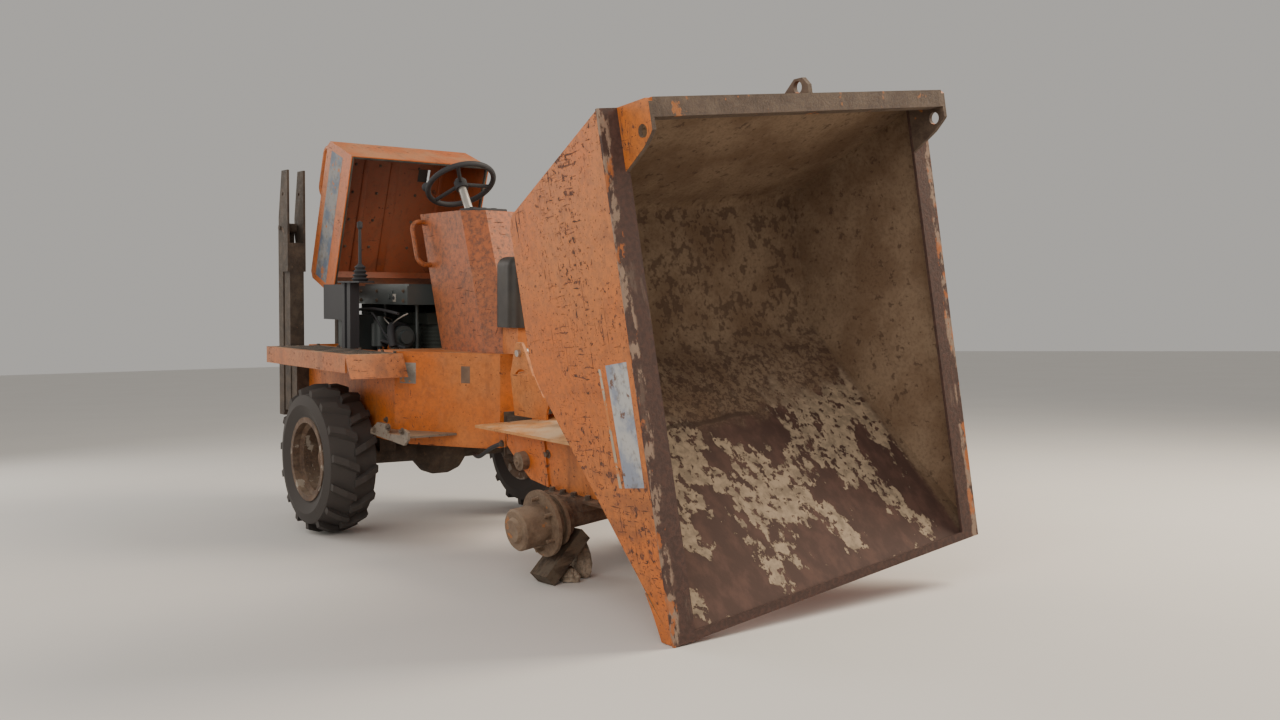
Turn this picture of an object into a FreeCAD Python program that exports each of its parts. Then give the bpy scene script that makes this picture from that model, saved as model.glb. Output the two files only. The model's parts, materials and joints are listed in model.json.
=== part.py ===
import FreeCAD, Part
import math
import os
import re
import Sketcher

# Two-tonne articulated site dumper, parked with its skip tipped, its engine cover raised, its roll
# hoop folded and its front right wheel missing. Each piece is drawn in the level frame of the unit
# that carries it (X forward, Y left, Z up) and is then placed with that unit.

SIZES = {
    # wheels: tractor tread tyres on 15.3 inch rims
    "wheel_radius": 382.5,
    "tyre_width": 264,
    "crown_radius": 300,
    "crown_steps": 3,
    "lug_height": 30,
    "lug_width": 34,
    "lug_count": 15,
    "lug_reach": 115,
    "lug_sweep": 62,
    "bead_radius": 194,
    "rim_flange_radius": 212,
    "rim_width": 228,
    "rim_wall": 9,
    "well_radius": 166,
    "disc_thickness": 11,
    "disc_dish": 24,
    "hub_radius": 84,
    "hub_flange_radius": 104,
    "hub_flange_thickness": 16,
    "hub_inner": 455,
    "hub_seat": 530,
    "hub_seat_radius": 134,
    "hub_seat_thickness": 16,
    "hub_face": 648,
    "hub_cap_radius": 52,
    "hub_cap_depth": 14,
    "stud_circle": 102.5,
    "stud_radius": 8,
    "stud_count": 6,
    "stud_reach": 32,
    "spindle_radius": 32,
    "spindle_length": 120,
    "track": 1255,
    "running_gap": 0.5,
    # how the machine stands
    "pivot_forward": 1000,
    "roll_height": 560,
    "front_roll": 7.0,
    "front_axle_forward": 833,
    # rear chassis
    "plate": 10,
    "chassis_half": 470,
    "chassis_rear": -640,
    "chassis_bottom": 500,
    "chassis_top": 935,
    "taper_start": 450,
    "chassis_front": 940,
    "nose_half": 165,
    "deck_plate": 8,
    "deck_rear": 262,
    "cross_member": 90,
    # fenders and steps
    "fender_half": 760,
    "fender_rear": -500,
    "fender_front": 540,
    "fender_drop": 85,
    "fender_nose": 110,
    "fender_nose_rise": 60,
    "step_rear": 395,
    "step_front": 800,
    "step_bottom": 520,
    "step_tread": 590,
    # articulation
    "yoke_plate": 24,
    "yoke_back": 10,
    "pivot_pin_radius": 25,
    "head_radius": 44,
    "head_height": 120,
    "neck_radius": 48,
    "moving_gap": 6,
    # engine bay
    "engine_rear": -330,
    "engine_front": 130,
    "engine_half": 190,
    "sump_bottom": 575,
    "block_top": 900,
    "cylinder_top": 1120,
    "cylinder_radius": 84,
    "cylinder_pitch": 190,
    "cylinder_count": 2,
    "fin_count": 7,
    "fin_radius": 104,
    "fin_thickness": 7,
    "shroud_bottom": 1165,
    "shroud_top": 1272,
    "shroud_rear": -400,
    "shroud_front": 205,
    "shroud_half": 280,
    "lever_x": 75,
    "lever_y": -480,
    "lever_stand_top": 1284,
    # engine cover, closed, from its hinge
    "cover_hinge_x": -675,
    "cover_hinge_z": 1168,
    "cover_open": 70,
    "cover_back": 115,
    "cover_length": 787,
    "cover_half": 414,
    "cover_foot": -208,
    "cover_height": 330,
    "cover_wall": 5,
    "cover_window": 75,
    "seat_length": 400,
    "cushion_half": 235,
    "seat_thickness": 85,
    # console, wheel and guard tank
    "console_base_rear": 390,
    "console_base_front": 925,
    "console_half": 180,
    "console_chamfer": 90,
    "console_top_rear": 150,
    "console_top_front": 670,
    "console_top": 1632,
    "console_wall": 4,
    "grab_radius": 13,
    "grab_below_top": 42,
    "grab_length": 220,
    "grab_reach": 68,
    "grab_forward": 24,
    "cover_grab_rise": 110,
    "steering_hub_x": 256,
    "steering_hub_z": 1790,
    "steering_lean": 33,
    "steering_radius": 174,
    "steering_rim": 14,
    "column_radius": 22,
    "guard_rear": 868,
    "guard_front": 1040,
    "guard_half": 160,
    "guard_bottom": 1068,
    "guard_top": 1400,
    # roll hoop
    "hoop_x": -760,
    "hoop_y": 505,
    "hoop_tube": 80,
    "hoop_foot": 560,
    "hoop_post_top": 1500,
    "hoop_ear": 12,
    "hoop_ear_top": 1905,
    "hoop_pin_back": 66,
    "hoop_pin_z": 1585,
    "hoop_leg": 1060,
    "hoop_leg_offset": 50,
    "hoop_leg_tube": 68,
    # front chassis
    "spine_half": 95,
    "spine_plate": 14,
    "spine_rear": 130,
    "spine_front": 1255,
    "side_half": 330,
    "side_rear": 560,
    "side_front": 1230,
    "top_height": 680,
    "top_plate": 12,
    "top_rear": 142,
    "top_front": 975,
    "top_half": 400,
    "mount_height": 440,
    "spine_low": 500,
    "seat_half": 75,
    "seat_inner": 285,
    "tower_half": 170,
    "tower_rear": 105,
    "tower_front": 620,
    "tower_top": 885,
    "tower_plate": 10,
    "tower_arch": 95,
    "lug_foot_half": 112,
    "lug_top_radius": 46,
    "lug_pin_x": 205,
    "lug_pin_z": 985,
    "lug_plate": 14,
    # skip pivot and skip, carried level
    "skip_pivot_x": 1175,
    "skip_pivot_z": 800,
    "skip_pin_radius": 24,
    "mouth_length": 1686,
    "mouth_half": 758,
    "rear_reach": 1038,
    "mouth_height": 713,
    "skip_depth": 705,
    "floor_rear": 250,
    "floor_front": 803,
    "wall_half": 757,
    "floor_half": 700,
    "skip_sheet": 8,
    "floor_fillet_rear": 60,
    "floor_fillet_front": 260,
    "rim_side": 90,
    "lip_box_length": 160,
    "lip_box_depth": 78,
    "rim_rear": 34,
    "rim_thickness": 12,
    "rail_height": 60,
    "rail_thickness": 60,
    "back_plate": 10,
    "ear_length": 198,
    "ear_height": 158,
    "ear_plate": 16,
    "ear_hole": 22,
    "ear_hole_back": 94,
    "ear_hole_rise": 111,
    "eye_plate": 18,
    "eye_back": 29,
    "eye_drop": 48,
    "eye_hole": 20,
    "pivot_lug_half": 150,
    "pivot_lug_plate": 20,
    # tipping ram
    "ram_base_x": 255,
    "ram_base_z": 420,
    "ram_eye_x": -320,
    "ram_eye_z": -60,
    "ram_radius": 45,
    "rod_radius": 22,
    "ram_barrel": 560,
    "ram_pin_radius": 16,
    "ram_eye_radius": 34,
    "ram_eye_width": 50,
    # what props the bare axle end
    "prop_width": 120,
    "prop_thick": 55,
    "prop_reach": 83,
    "contact_gap": 0.3,
    "casing_radius": 132,
    "casing_gap": 8,
}

doc = FreeCAD.newDocument("site_dumper")
sheet = doc.addObject("Spreadsheet::Sheet", "sizes")
for row, (name, number) in enumerate(SIZES.items(), 1):
    sheet.set(f"A{row}", str(number))
    sheet.setAlias(f"A{row}", name)
doc.recompute()

vector = FreeCAD.Vector
X_AXIS = vector(1, 0, 0)
Y_AXIS = vector(0, 1, 0)
Z_AXIS = vector(0, 0, 1)
AXES = {"X": X_AXIS, "Y": Y_AXIS, "Z": Z_AXIS}


def size(name):
    """The number that the sheet holds under a name."""
    return float(sheet.get(name))


def bind(item, prop, formula):
    """Bind a property to a formula in the sheet's names."""
    words = re.sub(r"[a-z][a-z_0-9]*", lambda m: "sizes." + m[0] if m[0] in SIZES else m[0], str(formula))
    item.setExpression(prop, words)


def body(name):
    return doc.addObject("PartDesign::Body", name)


def origin_part(owner, role):
    return next(item for item in owner.Origin.OriginFeatures if item.Role == role)


def sketch_on(owner, name, plane, offset="0"):
    """An empty sketch on one of its body's origin planes, moved along that plane's normal."""
    sketch = owner.newObject("Sketcher::SketchObject", name)
    sketch.AttachmentSupport = [(origin_part(owner, plane), "")]
    sketch.MapMode = "FlatFace"
    bind(sketch, ".AttachmentOffset.Base.z", offset)
    return sketch


def fix(sketch, axis, edge, point, formula):
    """Tie one coordinate of an edge's point to a formula."""
    number = sketch.addConstraint(Sketcher.Constraint("Distance" + axis, -1, 1, edge, point, 7.0))
    label = f"{axis}{edge}_{point}"
    sketch.renameConstraint(number, label)
    bind(sketch, ".Constraints." + label, formula)


def draw_loop(sketch, points):
    """A closed outline of straight edges through points given as formulas."""
    first = len(sketch.Geometry)
    count = len(points)
    start = [vector(9 * math.cos(2 * math.pi * i / count), 9 * math.sin(2 * math.pi * i / count), 0)
             for i in range(count)]
    for i in range(count):
        sketch.addGeometry(Part.LineSegment(start[i], start[(i + 1) % count]))
    for i in range(count):
        sketch.addConstraint(Sketcher.Constraint("Coincident", first + i, 2, first + (i + 1) % count, 1))
    for i, (across, up) in enumerate(points):
        fix(sketch, "X", first + i, 1, across)
        fix(sketch, "Y", first + i, 1, up)


def draw_circle(sketch, across, up, radius):
    """A circle whose centre and radius are formulas."""
    edge = sketch.addGeometry(Part.Circle(vector(1, 1, 0), Z_AXIS, 5))
    fix(sketch, "X", edge, 3, across)
    fix(sketch, "Y", edge, 3, up)
    number = sketch.addConstraint(Sketcher.Constraint("Radius", edge, 5.0))
    sketch.renameConstraint(number, f"R{edge}")
    bind(sketch, f".Constraints.R{edge}", radius)


def pad(owner, name, sketch, length, symmetric=False):
    feature = owner.newObject("PartDesign::Pad", name)
    feature.Profile = sketch
    feature.Midplane = symmetric
    bind(feature, "Length", length)
    return feature


def prism(name, plane, points, length, offset="0", symmetric=False, holes=()):
    """A body padded from one outline; holes are (across, up, radius)."""
    owner = body(name)
    sketch = sketch_on(owner, name + "_outline", plane, offset)
    draw_loop(sketch, points)
    for hole in holes:
        draw_circle(sketch, *hole)
    pad(owner, name + "_pad", sketch, length, symmetric)
    return owner


def revolved(name, points, plane="YZ_Plane", axis="Y_Axis"):
    """A body turned from a half section that stands off the axis."""
    owner = body(name)
    sketch = sketch_on(owner, name + "_section", plane)
    draw_loop(sketch, points)
    turn = owner.newObject("PartDesign::Revolution", name + "_turn")
    turn.Profile = sketch
    turn.ReferenceAxis = (origin_part(owner, axis), [""])
    turn.Angle = 360
    return owner


def box(name, x, y, z):
    """A block between two formulas along each axis."""
    item = doc.addObject("Part::Box", name)
    for prop, letter, (low, high) in (("Length", "x", x), ("Width", "y", y), ("Height", "z", z)):
        bind(item, prop, f"({high}) - ({low})")
        bind(item, ".Placement.Base." + letter, low)
    return item


def rod(name, axis, start, radius, length):
    """A cylinder from a start point along an axis."""
    item = doc.addObject("Part::Cylinder", name)
    item.Placement = FreeCAD.Placement(vector(), FreeCAD.Rotation(Z_AXIS, AXES[axis]))
    bind(item, "Radius", radius)
    bind(item, "Height", length)
    for letter, formula in zip("xyz", start):
        bind(item, ".Placement.Base." + letter, formula)
    return item


def fuse(name, items):
    item = doc.addObject("Part::MultiFuse", name)
    item.Shapes = items
    item.Refine = True
    return item


def cut(name, base, tool):
    item = doc.addObject("Part::Cut", name)
    item.Base = base
    item.Tool = tool
    return item


def common(name, items):
    item = doc.addObject("Part::MultiCommon", name)
    item.Shapes = items
    return item


def group(name, items):
    """Several solids that share a node."""
    item = doc.addObject("Part::Compound", name)
    item.Links = items
    return item


def mirrored(name, source, normal=Y_AXIS):
    item = doc.addObject("Part::Mirroring", name)
    item.Source = source
    item.Normal = normal
    item.Base = vector()
    return item


def shaped(name, shape):
    item = doc.addObject("Part::Feature", name)
    item.Shape = shape
    return item


def tube_path(points, bend):
    """Straight runs joined by tangent arcs of one bend radius."""
    edges = []
    here = points[0]
    for before, corner, after in zip(points, points[1:], points[2:]):
        back = (before - corner).normalize()
        ahead = (after - corner).normalize()
        half = back.getAngle(ahead) / 2
        reach = bend / math.tan(half)
        start = corner + back * reach
        end = corner + ahead * reach
        middle = corner + (back + ahead).normalize() * (bend / math.sin(half) - bend)
        edges.append(Part.LineSegment(here, start).toShape())
        edges.append(Part.Arc(start, middle, end).toShape())
        here = end
    edges.append(Part.LineSegment(here, points[-1]).toShape())
    return Part.Wire(edges)


def bent_bar(points, bend, radius):
    """A round bar that follows points with bent corners."""
    path = tube_path(points, bend)
    ring = Part.Wire(Part.makeCircle(radius, points[0], points[1] - points[0]))
    return path.makePipeShell([ring], True, False)


def above(shape, height):
    """What of a shape lies above a height."""
    reach = 4000
    return shape.cut(Part.makeBox(reach, reach, reach, vector(-reach / 2, -reach / 2, height - reach)))


NODES = []


def node(item, label, unit):
    """Name a finished sub-part and say which unit carries it."""
    item.Label = label
    NODES.append((item, unit))


# wheels

def tyre_form():
    """A tractor tread tyre: a turned carcass and two rows of swept lugs trimmed to the crown."""
    label = "tyre"
    carcass = "wheel_radius - lug_height"
    drop = "crown_radius - sqrt(crown_radius * crown_radius - (tyre_width / 2 - 6) * (tyre_width / 2 - 6))"
    half = "tyre_width / 2"
    owner = revolved(label + "_body", [
        ("-rim_width / 2 + 6", "bead_radius + 0.3"), ("rim_width / 2 - 6", "bead_radius + 0.3"),
        ("rim_width / 2 - 6", "rim_flange_radius + 8"), (half, "rim_flange_radius + 62"),
        (f"{half} - 14", f"{carcass} - ({drop})"), ("0", carcass), (f"-{half} + 14",
            f"{carcass} - ({drop})"),
        (f"-{half}", "rim_flange_radius + 62"), ("-rim_width / 2 + 6", "rim_flange_radius + 8")])
    for side, sign in (("left", ""), ("right", "-")):
        sketch = sketch_on(owner, f"{label}_lug_{side}", "XY_Plane", f"{carcass} - ({drop}) - 20")
        along = "0" if side == "left" else "pi * wheel_radius / lug_count"
        draw_loop(sketch, [
            (f"{along} + lug_sweep / 2", f"{sign}(-8)"), (f"{along} + lug_sweep / 2 + lug_width",
                                                          f"{sign}(-8)"),
            (f"{along} - lug_sweep / 2 + lug_width", f"{sign}(lug_reach)"), (f"{along} - lug_sweep / 2",
                f"{sign}(lug_reach)")])
        lug = pad(owner, f"{label}_lug_{side}_pad", sketch, f"lug_height + ({drop}) + 26")
        row = owner.newObject("PartDesign::PolarPattern", f"{label}_lugs_{side}")
        row.Originals = [lug]
        row.Axis = (origin_part(owner, "Y_Axis"), [""])
        row.Angle = 360
        bind(row, "Occurrences", "lug_count")
        owner.Tip = row
    # the crown that trims the lugs to their worn outer arc, in chords
    trim = sketch_on(owner, label + "_crown", "YZ_Plane")
    radius = size("crown_radius")
    top = size("wheel_radius")
    edge = size("tyre_width") / 2 + 10
    steps = int(size("crown_steps"))
    corners = [vector(edge, top + 60, 0), vector(-edge, top + 60, 0)]
    for step in range(steps + 1):
        across = edge * (2 * step / steps - 1)
        corners.append(vector(across, top - radius + math.sqrt(radius * radius - across * across), 0))
    for start, end in zip(corners, corners[1:] + corners[:1]):
        trim.addGeometry(Part.LineSegment(start, end))
    groove = owner.newObject("PartDesign::Groove", label + "_trim")
    groove.Profile = trim
    groove.ReferenceAxis = (origin_part(owner, "Y_Axis"), [""])
    groove.Angle = 360
    owner.Tip = groove
    return owner


def rim_form():
    """A rim with its well, deep-dished disc and hub drum, its outer side to the left."""
    half = "rim_width / 2"
    face = "(hub_seat - track / 2)"
    back = "(hub_inner - track / 2)"
    end = "(hub_face - track / 2)"
    points = [
        (f"-{half}", "rim_flange_radius"), (f"-{half} + 5.7", "rim_flange_radius"), (f"-{half} + 5.7",
            "bead_radius"),
        (f"{half} - 5.7", "bead_radius"), (f"{half} - 5.7", "rim_flange_radius"), (half,
            "rim_flange_radius"),
        (half, "bead_radius - rim_wall"), (f"{half} - 36", "bead_radius - rim_wall"), (f"{half} - 52",
            "well_radius"),
        (f"{face} + disc_thickness + disc_dish", "well_radius"), (f"{face} + disc_thickness",
            "well_radius - 18"),
        (f"{face} + disc_thickness", "hub_radius"), (f"{end} - 8", "hub_radius"), (end, "hub_radius - 8"),
        (end, "hub_cap_radius"), (f"{end} + hub_cap_depth",
                                  "hub_cap_radius - 8"), (f"{end} + hub_cap_depth", "0"),
        (f"{back} + spindle_length", "0"), (f"{back} + spindle_length", "spindle_radius + running_gap"),
        (back, "spindle_radius + running_gap"), (back, "hub_flange_radius"),
        (f"{back} + hub_flange_thickness", "hub_flange_radius"), (f"{back} + hub_flange_thickness",
            "hub_radius"),
        (f"{face} - hub_seat_thickness", "hub_radius"), (f"{face} - hub_seat_thickness", "hub_seat_radius"),
        (face, "hub_seat_radius"), (face, "well_radius - 10"), (f"-{half}", "well_radius + 6")]
    return revolved("rim_body", points)


def wheels():
    """The same tyre and rim at each corner that still has a wheel."""
    tread = tyre_form()
    left_rim = rim_form()
    right_rim = mirrored("rim_right_form", left_rim)
    for corner, form in (("rear_right", right_rim), ("rear_left", left_rim), ("front_left", left_rim)):
        node(group("tyre_" + corner, [tread]), "tyre_" + corner, "wheel_" + corner)
        node(group("rim_" + corner, [form]), "rim_" + corner, "wheel_" + corner)


def bare_hub():
    """The front right hub: brake flange, wheel seat with its ring of studs, drum and end cap."""
    owner = revolved("bare_hub_body", [
        ("-hub_inner", "spindle_radius + running_gap"), ("-hub_inner - spindle_length",
                                                         "spindle_radius + running_gap"),
        ("-hub_inner - spindle_length", "0"), ("-hub_face - hub_cap_depth", "0"),
        ("-hub_face - hub_cap_depth", "hub_cap_radius - 8"), ("-hub_face", "hub_cap_radius"),
        ("-hub_face", "hub_radius - 8"), ("-hub_face + 8", "hub_radius"),
        ("-hub_seat", "hub_radius"), ("-hub_seat", "hub_seat_radius"),
        ("-hub_seat + hub_seat_thickness", "hub_seat_radius"), ("-hub_seat + hub_seat_thickness",
            "hub_radius"),
        ("-hub_inner - hub_flange_thickness", "hub_radius"), ("-hub_inner - hub_flange_thickness",
            "hub_flange_radius"),
        ("-hub_inner", "hub_flange_radius")])
    sketch = sketch_on(owner, "stud_ring", "XZ_Plane", "hub_seat - 4")
    draw_circle(sketch, "0", "stud_circle", "stud_radius")
    stud = pad(owner, "stud_pad", sketch, "stud_reach + 4")
    ring = owner.newObject("PartDesign::PolarPattern", "stud_pattern")
    ring.Originals = [stud]
    ring.Axis = (origin_part(owner, "Y_Axis"), [""])
    ring.Angle = 360
    bind(ring, "Occurrences", "stud_count")
    owner.Tip = ring
    node(owner, "bare_hub", "hub")


def axle(label, unit, forward, top):
    """A drive axle: a beam with a swollen middle, brake flanges, two seats and the two spindles."""
    end = "(hub_inner - 12)"
    owner = revolved(label + "_beam", [
        (f"-{end} - spindle_length", "0"), (f"{end} + spindle_length", "0"),
        (f"{end} + spindle_length", "spindle_radius"), (end, "spindle_radius"), (end, "78"),
        (f"{end} - 22", "78"), (f"{end} - 40", "50"), ("150", "54"), ("95", "112"), ("40", "casing_radius"),
        ("-40", "casing_radius"), ("-95", "112"), ("-150", "54"), (f"-{end} + 40", "50"), (f"-{end} + 22",
            "78"),
        (f"-{end}", "78"), (f"-{end}", "spindle_radius"), (f"-{end} - spindle_length", "spindle_radius")])
    bind(owner, ".Placement.Base.x", forward)
    bind(owner, ".Placement.Base.z", "wheel_radius")
    pieces = [owner]
    for index, low in enumerate(("-seat_inner - 90", "seat_inner")):
        pieces.append(box(f"{label}_seat_{index}", (f"{forward} - seat_half", f"{forward} + seat_half"),
                          (low, f"{low} + 90"), ("wheel_radius + 20", top)))
    node(fuse(label + "_fuse", pieces), label, unit)


# rear unit

CHASSIS_PLAN = [
    ("chassis_rear", "-chassis_half"), ("taper_start", "-chassis_half"), ("chassis_front", "-nose_half"),
    ("chassis_front", "nose_half"), ("taper_start", "chassis_half"), ("chassis_rear", "chassis_half")]


def rear_chassis():
    """Side plates that taper to the pivot, a rear wall, a nose wall and cross members."""
    outer = prism("chassis_outer", "XY_Plane", CHASSIS_PLAN, "chassis_top - chassis_bottom",
                  "chassis_bottom")
    slope = "plate * 1.2"
    inner = prism("chassis_inner", "XY_Plane", [
        ("chassis_rear + plate", "-chassis_half + plate"), (f"taper_start - {slope} / 3",
                                                            "-chassis_half + plate"),
        ("chassis_front - plate", f"-nose_half + {slope} / 2"), ("chassis_front - plate",
            f"nose_half - {slope} / 2"),
        (f"taper_start - {slope} / 3", "chassis_half - plate"), ("chassis_rear + plate",
            "chassis_half - plate")],
        "chassis_top - chassis_bottom + 20", "chassis_bottom - 10")
    walls = cut("chassis_walls", outer, inner)
    # the side plates are cut away over the axle ends
    arch = rod("chassis_arch", "Y", ("0", "-chassis_half - 20", "wheel_radius"), "205",
               "chassis_half * 2 + 40")
    open_walls = cut("chassis_open", walls, arch)
    members = []
    for index, place in enumerate(("chassis_rear + 140", "taper_start - cross_member")):
        members.append(box(f"chassis_member_{index}", (place, f"{place} + cross_member"),
                           ("-chassis_half + plate", "chassis_half - plate"),
                           ("chassis_bottom", "chassis_bottom + 60")))
    for index, low in enumerate(("-seat_inner - 90", "seat_inner")):
        members.append(box(f"chassis_rail_{index}", ("chassis_rear + 140", "taper_start + 50"),
                           (low, f"{low} + 90"),
                           ("chassis_bottom", "chassis_bottom + 60")))
    belly = prism("belly_body", "XY_Plane", [
        ("taper_start + 60", "-chassis_half + 44"), ("chassis_front - 60", "-nose_half - 31"),
        ("chassis_front - 60", "nose_half + 31"), ("taper_start + 60", "chassis_half - 44")],
        "8", "chassis_bottom - 8")
    node(fuse("chassis_fuse", [open_walls, belly] + members), "rear_chassis", "rear")


def deck():
    """The floor plate over the tapered nose."""
    owner = prism("deck_body", "XY_Plane", [
        ("deck_rear", "-chassis_half + 1"), ("taper_start", "-chassis_half + 1"), ("chassis_front - 1",
            "-nose_half"),
        ("chassis_front - 1", "nose_half"), ("taper_start", "chassis_half - 1"), ("deck_rear",
            "chassis_half - 1")],
        "deck_plate", "chassis_top")
    foot = box("guard_foot", ("guard_rear + 20", "guard_front - 15"),
               ("-guard_half + 40", "guard_half - 40"),
               ("chassis_top + deck_plate", "guard_bottom"))
    seat_foot = cut("guard_foot_seat", foot, doc.getObject("console_outer"))
    node(fuse("deck_fuse", [owner, seat_foot]), "floor_plate", "rear")


def fenders():
    """Two flat fenders with dropped outer edges and folded noses."""
    outline = [
        ("fender_rear", "chassis_top"), ("fender_front", "chassis_top"),
        ("fender_front + fender_nose_rise", "chassis_top - fender_nose"),
        ("fender_front + fender_nose_rise - 9", "chassis_top - fender_nose"),
        ("fender_front - 8", "chassis_top - 9"), ("fender_rear", "chassis_top - 9")]
    top = prism("fender_top", "XZ_Plane", outline, "fender_half - chassis_half", "chassis_half")
    edge = box("fender_edge", ("fender_rear", "fender_front - 8"), ("-fender_half", "-fender_half + 9"),
               ("chassis_top - fender_drop", "chassis_top - 4"))
    back = box("fender_back", ("fender_rear", "fender_rear + 9"), ("-fender_half + 4", "-chassis_half"),
               ("chassis_top - 45", "chassis_top - 4"))
    right = fuse("fender_right", [top, edge, back])
    node(group("fender_pair", [right, mirrored("fender_left", right)]), "fenders", "rear")


def steps():
    """A bolted step channel on each side, with its raised front and rear shoulders."""
    tread = "step_tread"
    outline = [
        ("step_rear", "step_bottom + 22"), ("step_front - 40", "step_bottom"), ("step_front",
            "step_bottom + 30"),
        ("step_front", f"{tread} - 6"), ("step_front - 45", f"{tread} + 6"), ("step_front - 85",
            f"{tread} - 26"),
        ("step_rear + 190", f"{tread} - 30"), ("step_rear + 180", f"{tread} + 14"), ("step_rear + 80",
            f"{tread} + 14"),
        ("step_rear", f"{tread} - 30")]
    taper = "(chassis_half - nose_half) / (chassis_front - taper_start)"
    outer = f"(chassis_half - (step_front - taper_start) * {taper})"
    right = prism("step_right", "XZ_Plane", outline, "12", "chassis_half + 90")
    floor = box("step_floor", ("step_rear + 20", "step_front - 50"),
                ("-chassis_half - 96", f"-{outer} - 40"),
                ("step_bottom + 30", "step_bottom + 40"))
    skin = prism("step_skin", "XY_Plane", CHASSIS_PLAN, "400", "chassis_bottom - 60")
    near = cut("step_right_seat", fuse("step_right_fuse", [right, floor]), skin)
    node(group("step_pair", [near, mirrored("step_left", near)]), "side_steps", "rear")


def yoke():
    """The rear half of the articulation: a back plate on the nose wall and two bored plates."""
    pieces = [box("yoke_back_plate", ("chassis_front", "chassis_front + yoke_back"),
                  ("-nose_half + 20", "nose_half - 20"),
                  ("roll_height - head_height / 2 - moving_gap - yoke_plate - 20",
                   "roll_height + head_height / 2 + moving_gap + yoke_plate + 20"))]
    for index, low in enumerate(("roll_height - head_height / 2 - moving_gap - yoke_plate",
                                 "roll_height + head_height / 2 + moving_gap")):
        pieces.append(prism(f"yoke_plate_{index}", "XY_Plane", [
            ("chassis_front", "-nose_half + 20"), ("pivot_forward + 20", "-60"), ("pivot_forward + 62",
                "-30"),
            ("pivot_forward + 62", "30"), ("pivot_forward + 20", "60"), ("chassis_front",
                "nose_half - 20")],
            "yoke_plate", low, holes=[("pivot_forward", "0", "pivot_pin_radius + running_gap")]))
    node(fuse("yoke_fuse", pieces), "rear_yoke", "rear")


def engine():
    """The engine: sump, block, finned cylinders and heads."""
    parts = [
        box("engine_sump", ("engine_rear + 30", "engine_front - 30"),
            ("-engine_half + 40", "engine_half - 40"),
            ("sump_bottom", "sump_bottom + 120")),
        box("engine_case", ("engine_rear", "engine_front"), ("-engine_half", "engine_half"),
            ("sump_bottom + 110", "block_top")),
        rod("engine_flywheel", "X", ("engine_rear - 70", "0", "sump_bottom + 200"), "165", "80")]
    # four feet carry it on the chassis rails
    foot_top = "sump_bottom + 130"
    for index, (rear, inner, outer) in enumerate((
            ("engine_rear + 50", "-seat_inner - 60", "-engine_half"), ("engine_rear + 50", "engine_half",
                "seat_inner + 60"),
            ("engine_front - 110", "-seat_inner - 60", "-engine_half"), ("engine_front - 110",
                "engine_half", "seat_inner + 60"))):
        parts.append(box(f"engine_arm_{index}", (rear, f"{rear} + 60"), (inner, outer),
                         (f"{foot_top} - 16", foot_top)))
        sign = "-" if inner.startswith("-") else ""
        parts.append(box(f"engine_foot_{index}", (rear, f"{rear} + 60"),
                         (f"{sign}(seat_inner + 35) - 25", f"{sign}(seat_inner + 35) + 25"),
                         ("chassis_bottom + 60", f"{foot_top} - 10")))
    for index in range(int(size("cylinder_count"))):
        middle = f"(engine_rear + engine_front) / 2 + cylinder_pitch * ({index} - (cylinder_count - 1) / 2)"
        parts.append(rod(f"engine_barrel_{index}", "Z", (middle, "0", "block_top - 5"), "cylinder_radius",
                         "cylinder_top - block_top - 40"))
        parts.append(box(f"engine_head_{index}", (f"{middle} - fin_radius + 18",
                                                  f"{middle} + fin_radius - 18"),
                         ("-fin_radius", "fin_radius"), ("cylinder_top - 60", "cylinder_top")))
        for fin in range(int(size("fin_count"))):
            low = f"block_top + 14 + {fin} * (cylinder_top - block_top - 80) / fin_count"
            parts.append(rod(f"engine_fin_{index}_{fin}", "Z", (middle, "0", low), "fin_radius - 12",
                             "fin_thickness"))
    node(fuse("engine_fuse", parts), "engine_block", "rear")


def engine_shroud():
    """The cooling cowl over the engine, a deep tray open below, with its filler and legs."""
    tray = box("shroud_tray", ("shroud_rear", "shroud_front"), ("-shroud_half", "shroud_half"),
               ("shroud_bottom", "shroud_top - 10"))
    hollow = box("shroud_hollow", ("shroud_rear + 8", "shroud_front - 8"),
                 ("-shroud_half + 8", "shroud_half - 8"),
                 ("shroud_bottom - 5", "shroud_top - 18"))
    lid = box("shroud_lid", ("shroud_rear + 60", "shroud_front - 12"),
              ("-shroud_half + 14", "shroud_half - 14"),
              ("shroud_top - 12", "shroud_top"))
    plate = box("shroud_plate", ("shroud_front - 227", "shroud_front - 167"),
                ("-shroud_half - 6", "-shroud_half + 2"), ("shroud_bottom + 12", "shroud_bottom + 72"))
    boss = rod("shroud_boss", "Y", ("shroud_front - 197", "-shroud_half - 14", "shroud_bottom + 42"), "14",
               "12")
    legs = []
    for index, (x, y) in enumerate((("engine_rear + 40", "-engine_half + 20"), ("engine_front - 40",
        "-engine_half + 20"),
                                    ("engine_rear + 40", "engine_half - 20"), ("engine_front - 40",
                                        "engine_half - 20"))):
        legs.append(rod(f"shroud_leg_{index}", "Z", (x, y, "block_top"), "9",
                        "shroud_top - 14 - block_top"))
    node(fuse("shroud_fuse", [cut("shroud_shell", tray, hollow), lid, plate, boss] + legs), "engine_shroud",
         "rear")


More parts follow.
